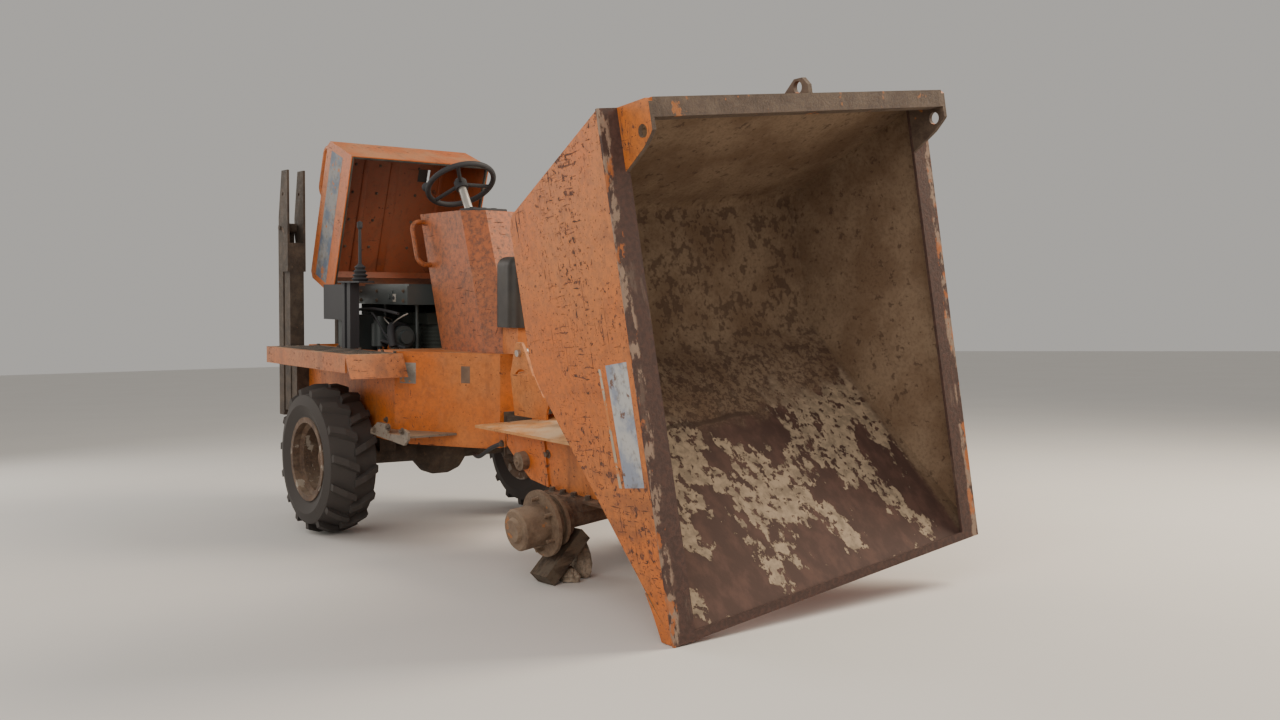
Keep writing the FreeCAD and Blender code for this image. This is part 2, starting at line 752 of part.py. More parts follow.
def ancillaries():
    """What stands on the right of the engine: battery box, fuel filter and generator."""
    battery = box("battery_body", ("engine_rear - 90", "engine_rear + 70"),
                  ("-cover_half + 25", "-engine_half - 30"),
                  ("chassis_top - 20", "shroud_bottom - 60"))
    shelf = box("battery_shelf", ("engine_rear - 110", "engine_rear + 90"),
                ("-chassis_half + plate", "-engine_half - 20"),
                ("chassis_top - 30", "chassis_top - 20"))
    filter_x = "engine_rear + 170"
    filter_y = "-engine_half - 75"
    bottle = rod("filter_bottle", "Z", (filter_x, filter_y, "block_top + 40"), "44", "120")
    neck = rod("filter_neck", "Z", (filter_x, filter_y, "block_top + 158"), "33", "42")
    arm = box("filter_arm", (f"{filter_x} - 22", f"{filter_x} + 22"), (filter_y, "-engine_half"),
              ("block_top - 58", "block_top - 30"))
    stem = rod("filter_stem", "Z", (filter_x, filter_y, "block_top - 58"), "14", "110")
    generator = rod("generator_case", "X", ("engine_front - 110", "-engine_half - 62", "block_top + 96"),
                    "58", "92")
    pulley = rod("generator_pulley", "X", ("engine_front - 20", "-engine_half - 62", "block_top + 96"),
                 "34", "34")
    arm_rod = box("generator_arm", ("engine_front - 80", "engine_front - 52"),
                  ("-engine_half - 62", "-engine_half"),
                  ("block_top - 40", "block_top + 60"))
    node(group("ancillary_group", [
        fuse("battery_fuse", [battery, shelf]), fuse("filter_fuse", [bottle, neck, arm, stem]),
        fuse("generator_fuse", [generator, pulley, arm_rod])]), "engine_ancillaries", "rear")


def gear_lever():
    """The gear lever in a pleated gaiter on a shelf over the right fender, with a flat control box."""
    pleats = [("0", "0"), ("34", "0")]
    for index in range(4):
        pleats.append((f"{44 - 5 * index}", f"{10 + 20 * index}"))
        pleats.append((f"{30 - 4 * index}", f"{20 + 20 * index}"))
    pleats += [("9", "88"), ("7", "262"), ("14", "272"), ("14", "298"), ("0", "306")]
    owner = revolved("lever_body", pleats, "XZ_Plane", "Z_Axis")
    bind(owner, ".Placement.Base.x", "lever_x")
    bind(owner, ".Placement.Base.y", "lever_y")
    bind(owner, ".Placement.Base.z", "lever_stand_top")
    shelf = box("lever_shelf", ("lever_x - 190", "lever_x + 75"), ("lever_y - 40", "lever_y + 44"),
                ("lever_stand_top - 8", "lever_stand_top"))
    posts = []
    for index, (low, high) in enumerate((("lever_x - 190", "lever_x - 150"), ("lever_x - 120",
        "lever_x - 80"))):
        posts.append(box(f"lever_post_{index}", (low, high), ("lever_y - 20", "lever_y + 30"),
                         ("chassis_top", "lever_stand_top - 4")))
    plate = box("control_box", ("lever_x - 530", "lever_x - 180"), ("lever_y + 22", "lever_y + 58"),
                ("lever_stand_top - 204", "lever_stand_top - 16"))
    node(fuse("lever_fuse", [owner, shelf, plate] + posts), "gear_lever", "rear")


def console():
    """The leaning sheet pedestal in front of the driver, chamfered at its front corners."""

    def shell(name, inset, lift):
        owner = body(name)
        sections = []
        for part, rear, front, height in (
                ("base", "console_base_rear", "console_base_front", f"chassis_top + deck_plate - {lift}"),
                ("top", "console_top_rear", "console_top_front", f"console_top - {inset}")):
            sketch = sketch_on(owner, f"{name}_{part}", "XY_Plane", height)
            half = f"(console_half - {inset})"
            draw_loop(sketch, [
                (f"{rear} + {inset}", f"-{half}"), (f"{front} - console_chamfer - {inset}", f"-{half}"),
                (f"{front} - {inset}", f"-{half} + console_chamfer"), (f"{front} - {inset}",
                    f"{half} - console_chamfer"),
                (f"{front} - console_chamfer - {inset}", half), (f"{rear} + {inset}", half)])
            sections.append(sketch)
        loft = owner.newObject("PartDesign::AdditiveLoft", name + "_loft")
        loft.Profile = sections[0]
        loft.Sections = sections[1:]
        loft.Ruled = True
        return owner

    outer = shell("console_outer", "0", "0")
    inner = shell("console_inner", "console_wall", "20")
    walls = cut("console_walls", outer, inner)
    node(group("console_group", [walls]), "console", "rear")


def console_side_x(height):
    """Where the console's rear edge lies at a height."""
    low = size("chassis_top") + size("deck_plate")
    share = (height - low) / (size("console_top") - low)
    return size("console_base_rear") + share * (size("console_top_rear") - size("console_base_rear"))


def console_handle():
    """The grab handle bent from round bar, seated on the console's right side by its rear edge."""
    doc.recompute()
    high = size("console_top") - size("grab_below_top")
    side = -size("console_half")
    ends = [high, high - size("grab_length")]
    top, low = [vector(console_side_x(height) + size("grab_forward"), side, height) for height in ends]
    out = vector(0, -size("grab_reach"), 0)
    inside = vector(0, 20, 0)
    bar = bent_bar([top + inside, top + out, low + out, low + inside], 45, size("grab_radius"))
    node(shaped("console_handle_bar", bar.cut(doc.getObject("console_outer").Shape)), "console_handle",
         "rear")


def steering():
    """The column tube and a three-spoke wheel with a spinner knob."""
    lean = math.radians(size("steering_lean"))
    up = vector(-math.sin(lean), 0, math.cos(lean))
    hub = vector(size("steering_hub_x"), 0, size("steering_hub_z"))
    top = size("console_top")
    reach = (hub.z - 30 * up.z - top) / up.z
    start = hub - up * (reach + 30) + up * 0.3
    column = Part.makeCylinder(size("column_radius"), reach - 0.3, start + up * 2, up)
    node(shaped("column_bar", above(column, top)), "steering_column", "rear")
    radius = size("steering_radius")
    ring = Part.makeTorus(radius, size("steering_rim"), hub, up)
    boss = Part.makeCylinder(34, 44, hub - up * 28, up)
    wheel = ring.fuse(boss)
    across = vector(0, 1, 0)
    ahead = up.cross(across)
    for turn in (90, 210, 330):
        angle = math.radians(turn)
        way = across * math.sin(angle) + ahead * math.cos(angle)
        wheel = wheel.fuse(Part.makeCylinder(10, radius, hub, way))
    knob_way = (across * -0.8 + ahead * 0.6)
    knob = Part.makeCylinder(9, 34, hub + knob_way * radius, up).fuse(
        Part.makeSphere(24, hub + knob_way * radius + up * 50))
    node(shaped("steering_ring", wheel.fuse(knob)), "steering_wheel", "rear")


def guard_tank():
    """The smooth moulded tank in front of the console, on its bracket."""
    tank = box("guard_block", ("guard_rear", "guard_front"), ("-guard_half", "guard_half"),
               ("guard_bottom", "guard_top"))
    round_tank = doc.addObject("Part::Fillet", "guard_round")
    round_tank.Base = tank
    doc.recompute()
    edges = [(i + 1, 48, 48) for i, edge in enumerate(tank.Shape.Edges)
             if edge.BoundBox.ZMax > size("guard_top") - 1]
    round_tank.Edges = edges
    console_solid = doc.getObject("console_outer")
    seated = cut("guard_seated", round_tank, console_solid)
    node(group("guard_group", [seated]), "moulded_tank", "rear")


def hoop_posts():
    """The two fixed posts of the roll hoop with their hinge ears, bolted to the chassis rear."""
    near = "-hoop_y"
    half = "hoop_tube / 2"
    post = box("post_tube", (f"hoop_x - {half}", f"hoop_x + {half}"),
               (f"{near} - {half}", f"{near} + {half}"),
               ("hoop_foot", "hoop_post_top"))
    foot = box("post_foot", (f"hoop_x + {half}", "chassis_rear"),
               (f"{near} - {half} + 5", f"{near} + {half} + 60"),
               ("hoop_foot", "chassis_top - 20"))
    pieces = [post, foot]
    for index, (low, high) in enumerate(((f"{near} - {half} - hoop_ear", f"{near} - {half}"),
                                         (f"{near} + {half}", f"{near} + {half} + hoop_ear"))):
        pieces.append(prism(f"post_ear_{index}", "XZ_Plane", [
            (f"hoop_x + {half}", "hoop_post_top - 160"), (f"hoop_x + {half}", "hoop_ear_top"),
            (f"hoop_x - {half} - 5", "hoop_ear_top"), ("hoop_x - hoop_pin_back - 30", "hoop_pin_z + 60"),
            ("hoop_x - hoop_pin_back - 30", "hoop_pin_z - 30"), (f"hoop_x - {half}",
                "hoop_post_top - 160")],
            "hoop_ear", f"-({high})", holes=[("hoop_x - hoop_pin_back", "hoop_pin_z", "13"),
                                             (f"hoop_x - {half} + 12", "hoop_ear_top - 130", "11")]))
    right = fuse("post_right", pieces)
    node(group("post_pair", [right, mirrored("post_left", right)]), "roll_posts", "rear")


def hoop():
    """The folding top of the roll hoop, drawn upright from its pins."""
    half = "hoop_leg_tube / 2"
    offset = "hoop_leg_offset"
    leg = box("hoop_leg", (f"{offset} - {half}", f"{offset} + {half}"),
              (f"-hoop_y - {half}", f"-hoop_y + {half}"),
              ("-20", "hoop_leg"))
    knuckle = rod("hoop_knuckle", "Y", ("0", f"-hoop_y - {half}", "0"), "28", "hoop_leg_tube")
    root = box("hoop_root", ("0", f"{offset} - {half} + 2"), (f"-hoop_y - {half}", f"-hoop_y + {half}"),
               ("-20", "28"))
    pin = rod("hoop_pin", "Y", ("0", f"-hoop_y - hoop_tube / 2 - hoop_ear - 10", "0"), "12.5",
              "hoop_tube + hoop_ear * 2 + 20")
    beam = box("hoop_beam", (f"{offset} - {half}", f"{offset} + {half}"),
               (f"-hoop_y - {half}", f"hoop_y + {half}"),
               (f"hoop_leg - hoop_leg_tube", "hoop_leg"))
    right = fuse("hoop_right", [leg, knuckle, root, pin])
    node(fuse("hoop_fuse", [right, mirrored("hoop_left", right), beam]), "roll_hoop", "hoop")


def cover_bracket():
    """The hinge posts that carry the engine cover at the rear of the chassis."""
    near = "-cover_half + 120"
    arm = box("bracket_arm", ("cover_hinge_x - 20", "cover_hinge_x + 20"), (near, f"{near} + 30"),
              ("chassis_bottom + 200", "cover_hinge_z - 24"))
    eye = rod("bracket_eye", "Y", ("cover_hinge_x", near, "cover_hinge_z"), "26", "30")
    bore = rod("bracket_bore", "Y", ("cover_hinge_x", f"{near} - 5", "cover_hinge_z"), "12.5", "40")
    foot = box("bracket_foot", ("cover_hinge_x - 20", "chassis_rear"), (near, f"{near} + 30"),
               ("chassis_bottom + 200", "chassis_top - 30"))
    right = cut("bracket_right", fuse("bracket_fuse", [arm, eye, foot]), bore)
    node(group("bracket_pair", [right, mirrored("bracket_left", right)]), "cover_hinge_posts", "rear")


# engine cover, drawn closed, its origin on the hinge line

def cover():
    rear = "cover_back"
    front = "cover_back + cover_length"
    top = "cover_foot + cover_height"
    outline = [(rear, "cover_foot"), (front, "cover_foot"), (front, f"{top} - 30"), (f"{front} - 30", top),
               (f"{rear} + 30", top), (rear, f"{top} - 30")]
    outer = prism("cover_outer", "XZ_Plane", outline, "cover_half * 2", "-cover_half")
    inner = box("cover_hollow", (f"{rear} + cover_wall", f"{front} - cover_wall"),
                ("-cover_half + cover_wall", "cover_half - cover_wall"), ("cover_foot - 10",
                    f"{top} - cover_wall"))
    window = box("cover_hole", (f"{front} - 200", f"{front} - 200 + cover_window"),
                 ("150", "150 + cover_window"),
                 (f"{top} - 20", f"{top} + 20"))
    shell = cut("cover_shell_cut", cut("cover_shell_hollow", outer, inner), window)
    node(shell, "cover_shell", "cover")


def cover_hinges():
    """The cover's half of its hinge: arms from its rear wall and the pins."""
    near = "-cover_half + 155"
    arm = box("hinge_arm", ("-18", "cover_back"), (near, f"{near} + 26"), ("-18", "18"))
    pin = rod("hinge_pin", "Y", ("0", f"{near} - 45", "0"), "12", "60")
    right = fuse("hinge_right", [arm, pin])
    node(group("hinge_pair", [right, mirrored("hinge_left", right)]), "cover_hinges", "cover")


def cover_handle():
    """The bent grab rail on the right edge of the cover's top."""
    top = size("cover_foot") + size("cover_height")
    front = size("cover_back") + size("cover_length") - 60
    side = -size("cover_half") + 40
    high = top + size("cover_grab_rise")
    points = [vector(front, side, top - 10), vector(front, side, high), vector(front - 250, side, high),
              vector(front - 305, side, top - 10)]
    bar = above(bent_bar(points, 45, size("grab_radius")), top + size("contact_gap"))
    node(shaped("cover_handle_bar", bar), "cover_handle", "cover")


def seat():
    """The driver's seat cushion on the cover's top, with its low back."""
    top = "cover_foot + cover_height"
    front = "(cover_back + cover_length - 70)"
    cushion = box("seat_block", (f"{front} - seat_length", front), ("-cushion_half", "cushion_half"),
                  (top, f"{top} + seat_thickness"))
    round_seat = doc.addObject("Part::Fillet", "seat_round")
    round_seat.Base = cushion
    doc.recompute()
    high = size("cover_foot") + size("cover_height") + size("seat_thickness")
    round_seat.Edges = [(i + 1, 30, 30) for i,
                        edge in enumerate(cushion.Shape.Edges) if edge.BoundBox.ZMax > high - 1]
    node(group("seat_group", [round_seat]), "seat_cushion", "cover")


# front unit, its origin on the ground under the pivot pin

def pivot_head():
    """The front half of the articulation: a head with its pin between the yoke plates, and its neck."""
    low = "(roll_height - head_height / 2)"
    head = rod("head_barrel", "Z", ("0", "0", low), "head_radius", "head_height")
    neck = rod("head_neck", "X", ("20", "0", "roll_height"), "neck_radius", "spine_rear - 20")
    pin = rod("head_pin", "Z", ("0", "0", f"{low} - moving_gap - yoke_plate - 14"), "pivot_pin_radius",
              "head_height + (moving_gap + yoke_plate + 14) * 2")
    node(fuse("head_fuse", [head, neck, pin]), "pivot_head", "articulation")


def front_chassis():
    """Spine plates from the pivot to the skip's pins, outer side plates, webs and the axle seats."""
    pieces = []
    spine = [
        ("spine_rear", "spine_low"), ("front_axle_forward - 200", "mount_height + 12"),
        ("spine_front - 160", "mount_height + 12"), ("spine_front", "skip_pivot_z - 110"),
        ("skip_pivot_x + 52", "skip_pivot_z"), ("skip_pivot_x + 30", "skip_pivot_z + 44"),
        ("skip_pivot_x - 30", "skip_pivot_z + 44"), ("skip_pivot_x - 60", "skip_pivot_z"),
        ("top_front", "top_height"), ("spine_rear", "top_height")]
    for index, low in enumerate(("-spine_half", "spine_half - spine_plate")):
        pieces.append(prism(f"spine_{index}", "XZ_Plane", spine, "spine_plate", f"-({low} + spine_plate)",
                            holes=[("skip_pivot_x", "skip_pivot_z", "skip_pin_radius + 0.3"),
                                   ("ram_base_x", "ram_base_z + 130", "20")]))
    side = [
        ("side_rear", "mount_height + 90"), ("side_rear + 70", "mount_height + 12"),
        ("side_front - 60", "mount_height + 12"), ("side_front", "mount_height + 90"),
        ("side_front - 60", "top_height - 10"), ("side_rear", "top_height - 10")]
    for index, low in enumerate(("-side_half", "side_half - spine_plate")):
        pieces.append(prism(f"side_{index}", "XZ_Plane", side, "spine_plate", f"-({low} + spine_plate)"))
    webs = (("spine_rear", "spine_rear + 16", "spine_low"),
            ("side_rear + 80", "side_rear + 96", "mount_height + 12"),
            ("side_front - 90", "side_front - 74", "mount_height + 12"))
    for index, (rear, front, low) in enumerate(webs):
        if index == 0:
            pieces.append(box(f"web_{index}", (rear, front), ("-spine_half", "spine_half"),
                              (low, "top_height - 10")))
            continue
        for wing, (inner, outer) in enumerate((("-side_half", "-spine_half + 5"), ("spine_half - 5",
            "side_half"))):
            pieces.append(box(f"web_{index}_{wing}", (rear, front), (inner, outer),
                              (low, "top_height - 10")))
    for index, low in enumerate(("-spine_half + spine_plate", "spine_half - spine_plate - 16")):
        pieces.append(prism(f"ram_cheek_{index}", "XZ_Plane", [
            ("ram_base_x - 60", "spine_low + 60"), ("ram_base_x - 44", "ram_base_z - 30"), ("ram_base_x",
                "ram_base_z - 48"),
            ("ram_base_x + 44", "ram_base_z - 30"), ("ram_base_x + 70", "spine_low + 60")],
            "16", f"-({low} + 16)"))
    pieces.append(rod("ram_base_shaft", "Y", ("ram_base_x", "-spine_half + spine_plate", "ram_base_z"),
                      "ram_pin_radius",
                      "spine_half * 2 - spine_plate * 2"))
    room = rod("casing_room", "Y", ("front_axle_forward", "-spine_half - 5", "wheel_radius"),
               "casing_radius + casing_gap",
               "spine_half * 2 + 10")
    node(cut("front_chassis_cut", fuse("front_chassis_fuse", pieces), room), "front_chassis", "front")


def axle_flanges():
    """The bolted base flanges under the side plates, seated over the axle."""
    pieces = []
    for index, (low, high) in enumerate((("-side_half - 45", "-side_half + 60"), ("side_half - 60",
        "side_half + 45"))):
        pieces.append(box(f"flange_{index}", ("side_rear + 60", "side_front - 50"), (low, high),
                          ("mount_height", "mount_height + 12")))
    node(group("flange_pair", pieces), "axle_flanges", "front")


def chassis_top():
    """The folded top plates right and left of the ram's slot."""
    plates = []
    for index, sign in enumerate(("-", "")):
        plates.append(prism(f"top_{index}", "XY_Plane", [
            ("top_rear", f"{sign}(top_half)"), ("top_front", f"{sign}(top_half)"), ("top_front",
                f"{sign}(spine_half - spine_plate)"),
            ("top_rear + 160", f"{sign}(spine_half - spine_plate)"), ("top_rear + 160",
                f"{sign}(tower_half)")],
            "top_plate", "top_height"))
    node(group("top_pair", plates), "chassis_top_plates", "front")


def tower():
    """The saddle over the ram: two side plates and a curved top, arched at its front."""
    outline = [
        ("tower_rear", "top_height + top_plate"), ("tower_front", "top_height + top_plate"),
        ("tower_front", "top_height + top_plate + 60"), ("365", "795"), ("310", "tower_top"), ("tower_rear",
            "tower_top")]
    outer = prism("tower_outer", "XZ_Plane", outline, "tower_half * 2", "-tower_half")
    inner = prism("tower_inner", "XZ_Plane", [
        ("tower_rear + tower_plate", "top_height - 20"), ("tower_front + 50", "top_height - 20"),
        ("tower_front + 50", "top_height + top_plate + 40"), ("365", "785"), ("300",
            "tower_top - tower_plate"),
        ("tower_rear + tower_plate", "tower_top - tower_plate")],
        "(tower_half - tower_plate) * 2", "-tower_half + tower_plate")
    arch = rod("tower_arch_tool", "Y", ("tower_front - 150", "-tower_half - 20", "top_height + 10"),
               "tower_arch", "tower_half * 2 + 40")
    ram_gap = box("tower_gap", ("tower_front - 120", "tower_front + 100"), ("-70", "70"),
                  ("top_height", "tower_top + 30"))
    shell = cut("tower_shell", cut("tower_arched", cut("tower_hollow", outer, inner), arch), ram_gap)
    # two upright lugs with arched feet
    plates = [shell]
    for index, low in enumerate(("-tower_half", "tower_half - lug_plate")):
        plate = prism(f"lug_plate_{index}", "XZ_Plane", [
            ("lug_pin_x - lug_foot_half + 14", "tower_top"), ("lug_pin_x + lug_foot_half - 20",
                "tower_top"),
            ("lug_pin_x + lug_top_radius", "lug_pin_z + 10"), ("lug_pin_x + 24",
                "lug_pin_z + lug_top_radius"),
            ("lug_pin_x - 24", "lug_pin_z + lug_top_radius"), ("lug_pin_x - lug_top_radius",
                "lug_pin_z + 10")],
            "lug_plate", f"-({low} + lug_plate)", holes=[("lug_pin_x", "lug_pin_z", "16")])
        arch = rod(f"lug_arch_{index}", "Y", ("lug_pin_x", f"{low} - 5", "tower_top - 52"), "78",
                   "lug_plate + 10")
        plates.append(cut(f"lug_{index}", plate, arch))
    node(fuse("tower_fuse", plates), "ram_tower", "front")


def front_pins():
    """The skip's two pivot pins and the pin through the tower's lugs."""
    pins = [rod("lug_pin", "Y", ("lug_pin_x", "-tower_half - 16", "lug_pin_z"), "15.7",
                "tower_half * 2 + 32")]
    for index, start in enumerate(("-pivot_lug_half - pivot_lug_plate - 14",
                                   "spine_half - spine_plate - 10")):
        pins.append(rod(f"skip_pin_{index}", "Y", ("skip_pivot_x", start, "skip_pivot_z"),
                        "skip_pin_radius",
                        "pivot_lug_half + pivot_lug_plate + 24 - spine_half + spine_plate"))
    node(group("pin_group", pins), "front_pins", "front")


class Lean:
    """How the timber leans: up from the ground, past the hub flange, to the axle beam's underside."""

    def __init__(self):
        forward = size("front_axle_forward")
        radius = size("wheel_radius")
        level = math.cos(math.radians(size("front_roll")))
        beam = FRONT.multVec(vector(forward, -size("hub_inner") + size("prop_reach"), radius))
        self.forward = beam.x
        self.top_y = beam.y
        self.top_z = beam.z - 51 / level - size("contact_gap")
        self.angle = 0
        seat_inner_face = size("hub_seat") - size("hub_seat_thickness")
        for outboard, reach in ((size("hub_inner"), size("hub_flange_radius")),
                                (seat_inner_face, size("hub_seat_radius"))):
            edge = FRONT.multVec(vector(forward, -outboard, radius - reach))
            drop = self.top_z - edge.z + size("moving_gap")
            self.angle = max(self.angle, math.atan2(drop, self.top_y - edge.y))
        thick = size("prop_thick")
        self.heel_y = self.top_y + thick * math.sin(self.angle) - self.length() * math.cos(self.angle)

    def length(self):
        return (self.top_z - size("prop_thick") * math.cos(self.angle)) / math.sin(self.angle)

    def underside(self, across):
        """How high the timber's underside is at a place across the machine."""
        return (across - self.heel_y) * math.tan(self.angle)


def prop(lean):
    """The timber that leans under the bare axle end."""
    run = lean.length() * math.cos(lean.angle)
    rise = lean.length() * math.sin(lean.angle)
    thick = (size("prop_thick") * math.sin(lean.angle), size("prop_thick") * math.cos(lean.angle))
    timber = prism("prop_timber_form", "YZ_Plane", [
        ("0", "0"), (run, rise), (run - thick[0], rise + thick[1]), (-thick[0], thick[1])], "prop_width")
    timber.Placement = move(lean.forward - size("prop_width") / 2, lean.heel_y, 0)
    node(timber, "prop_timber", "ground")


def stone(name, lean, forward, inboard, wide, deep, turned):
    """A rounded field stone: three uneven rings lofted, from the ground to the timber's underside."""
    owner = body(name)
    rings = []
    for ring, share in enumerate((0.82, 1.0, 0.55)):
        corners = []
        for corner in range(8):
            angle = math.radians(turned + 45 * corner + 7 * ring)
            reach = share * (1 + 0.12 * math.sin(2.3 * corner + ring + turned))
            corners.append((wide / 2 * reach * math.cos(angle), deep / 2 * reach * math.sin(angle)))
        rings.append(corners)
    side = lean.heel_y + inboard
    high = lean.underside(side + min(across for ahead, across in rings[2])) - size("contact_gap")
    sections = []
    for ring, share in enumerate((0, 0.42, 1.0)):
        sketch = sketch_on(owner, f"{name}_ring_{ring}", "XY_Plane", high * share)
        draw_loop(sketch, rings[ring])
        sections.append(sketch)
    loft = owner.newObject("PartDesign::AdditiveLoft", name + "_loft")
    loft.Profile = sections[0]
    loft.Sections = sections[1:]
    loft.Ruled = True
    owner.Placement = move(lean.forward + forward, side, 0)
    return owner


def prop_stones(lean):
    """The two stones that wedge the timber."""
    near = stone("stone_near", lean, 20, 92, 130, 95, 20)
    far = stone("stone_far", lean, -25, 178, 150, 90, 65)
    node(group("stone_group", [near, far]), "prop_stones", "ground")


# skip, drawn carried level, its origin on its pivot line

def along(distance):
    """A place along the mouth, measured from its rear edge."""
    return f"({distance} - rear_reach)"


def skip_solid(name, inset, rise):
    """The skip's filled form: its side profile crossed with its tapered front view."""
    floor = f"(mouth_height - skip_depth + {inset})"
    top = f"(mouth_height - rim_thickness + {rise})"
    side = body(name + "_side")
    sketch = sketch_on(side, name + "_profile", "XZ_Plane", "-mouth_half - 20")
    lean = "floor_rear / skip_depth"
    slope = "(mouth_length - floor_front) / skip_depth"
    draw_loop(sketch, [
        (f"{along('0')} + {inset} + {lean} * (rim_thickness - {rise})", top),
        (f"{along('floor_rear')} + {inset}", floor),
        (f"{along('floor_front')} - {inset}", floor),
        (f"{along('mouth_length')} - {inset} - {slope} * (rim_thickness - {rise})", top)])
    pad(side, name + "_profile_pad", sketch, "mouth_half * 2 + 40")
    doc.recompute()
    solid = side.Shape
    wanted = []
    for number, edge in enumerate(solid.Edges, 1):
        middle = edge.CenterOfMass
        low = size("mouth_height") - size("skip_depth") + 40
        if edge.BoundBox.YLength > 100 and middle.z < low:
            wanted.append((number, middle.x))
    wanted.sort(key=lambda item: item[1])
    last = side.Tip
    for (number, place), radius in zip(wanted, ("floor_fillet_rear", "floor_fillet_front")):
        for found, edge in enumerate(last.Shape.Edges, 1):
            middle = edge.CenterOfMass
            if edge.BoundBox.YLength > 100 and abs(middle.x - place) < 1 and middle.z < low:
                bend = side.newObject("PartDesign::Fillet", f"{name}_{radius}")
                bend.Base = (last, [f"Edge{found}"])
                bind(bend, "Radius", f"{radius} - {inset}")
                doc.recompute()
                last = bend
                side.Tip = bend
                break
    taper = "(wall_half - floor_half) / skip_depth"
    front = prism(name + "_front", "YZ_Plane", [
        (f"-floor_half + {inset} - {taper} * ({inset})",
         floor), (f"floor_half - {inset} + {taper} * ({inset})", floor),
        (f"wall_half - {inset} + {taper} * ({rise} - rim_thickness)", top),
        (f"-wall_half + {inset} - {taper} * ({rise} - rim_thickness)", top)],
        "mouth_length + 400", f"{along('-200')}")
    return common(name, [side, front])


def skip():
    outer = skip_solid("skip_outer", "0", "0")
    inner = skip_solid("skip_inner", "skip_sheet", "30")
    fold = "mouth_height - rim_thickness"
    slope = "(skip_depth / (mouth_length - floor_front))"
    lip_box = prism("skip_lip_box", "XZ_Plane", [
        (along("mouth_length - lip_box_length"), f"mouth_height - lip_box_length * {slope} + 4"),
        (along("mouth_length - lip_box_length * 0.55"), f"{fold} - lip_box_depth - 6"),
        (along("mouth_length - 6"), f"{fold} - lip_box_depth + 18"), (along("mouth_length - 1"), fold),
        (along(f"mouth_length - rim_thickness / {slope}"), fold)],
        "wall_half * 2 - 8", "-wall_half + 4")
    shell = cut("skip_cut", fuse("skip_fold", [outer, lip_box]), inner)
    node(group("skip_group", [shell]), "skip_shell", "skip")


def skip_rim():
    """The flat rim round the mouth: wide on the sides, narrow at the rear, a wear edge at the lip."""
    outer = box("rim_outer", (along("0"), along("mouth_length")), ("-mouth_half", "mouth_half"),
                ("mouth_height - rim_thickness", "mouth_height"))
    inner = box("rim_hole", (along("rim_rear"), along("mouth_length - 30")),
                ("-mouth_half + rim_side", "mouth_half - rim_side"),
                ("mouth_height - rim_thickness - 5", "mouth_height + 5"))
    node(cut("rim_cut", outer, inner), "skip_rim", "skip")


def skip_rail():
    """The raised back of the mouth: its plate and rail, a bored ear at each end and the lifting eye."""
    top = "(mouth_height + ear_height)"
    across = ("-mouth_half + rim_side", "mouth_half - rim_side")
    pieces = [
        box("back_plate_body", (along("0"), along("back_plate")), across, ("mouth_height", top)),
        box("rail_bar", (along("0"), along("rail_thickness")), across, (f"{top} - rail_height", top))]
    for index, low in enumerate(("-mouth_half + rim_side - ear_plate", "mouth_half - rim_side")):
        pieces.append(prism(f"ear_{index}", "XZ_Plane", [
            (along("0"), "mouth_height"), (along("ear_length"), "mouth_height"),
            (along("ear_length - 56"), f"{top} - 53"), (along("ear_length - 90"), f"{top} - 10"),
            (along("ear_length - 100"), top), (along("12"), top), (along("0"), f"{top} - 14")],
            "ear_plate", f"-({low} + ear_plate)",
            holes=[(along("ear_hole_back"), "mouth_height + ear_hole_rise", "ear_hole")]))
    # the lifting eye stands out behind the plate, in the middle
    pieces.append(prism("eye_body", "XZ_Plane", [
        (along("2"), "mouth_height + 12"), (along("2"), top), (along("-eye_back"), top),
        (along("-eye_back - 27"), f"{top} - 22"), (along("-eye_back - 29"), f"{top} - 60")],
        "eye_plate", "-eye_plate / 2", holes=[(along("-eye_back"), f"{top} - eye_drop", "eye_hole")]))
    node(fuse("rail_fuse", pieces), "skip_rail", "skip")


def skip_lugs():
    """The pivot lugs under the sloping floor and the ram's lug under the flat floor."""
    pieces = []
    for index, low in enumerate(("-pivot_lug_half - pivot_lug_plate", "pivot_lug_half")):
        pieces.append(prism(f"pivot_lug_{index}", "XZ_Plane", [
            (f"{along('floor_front')} - 190", "120"), (f"{along('floor_front')} - 150", "-20"),
            ("-50", "-42"), ("0", "-52"), ("44", "-30"), ("200", "160"), ("330", "450")],
            "pivot_lug_plate", f"-({low} + pivot_lug_plate)", holes=[("0", "0", "skip_pin_radius + 0.3")]))
    for index, low in enumerate(("-ram_eye_width / 2 - 18", "ram_eye_width / 2 + 2")):
        pieces.append(prism(f"ram_lug_{index}", "XZ_Plane", [
            ("ram_eye_x - 90", "60"), ("ram_eye_x - 40", "ram_eye_z - 10"), ("ram_eye_x - 12",
                "ram_eye_z - 34"),
            ("ram_eye_x + 12", "ram_eye_z - 34"), ("ram_eye_x + 40", "ram_eye_z - 10"), ("ram_eye_x + 60",
                "60")],
            "16", f"-({low} + 16)"))
    cutter = skip_solid("lug_trim", "0", "0")
    seated = [cut(f"lug_seat_{index}", piece, cutter) for index, piece in enumerate(pieces)]
    for index, start in enumerate(("-ram_eye_width / 2 - 26", "ram_eye_width / 2 + 18")):
        cap = rod(f"ram_cap_{index}", "Y", ("ram_eye_x", start, "ram_eye_z"), "ram_pin_radius + 5", "8")
        seated[index + 2] = fuse(f"ram_lug_capped_{index}", [seated[index + 2], cap])
    node(group("skip_lug_group", seated), "skip_lugs", "skip")


# tipping ram, drawn along +X from its base pin

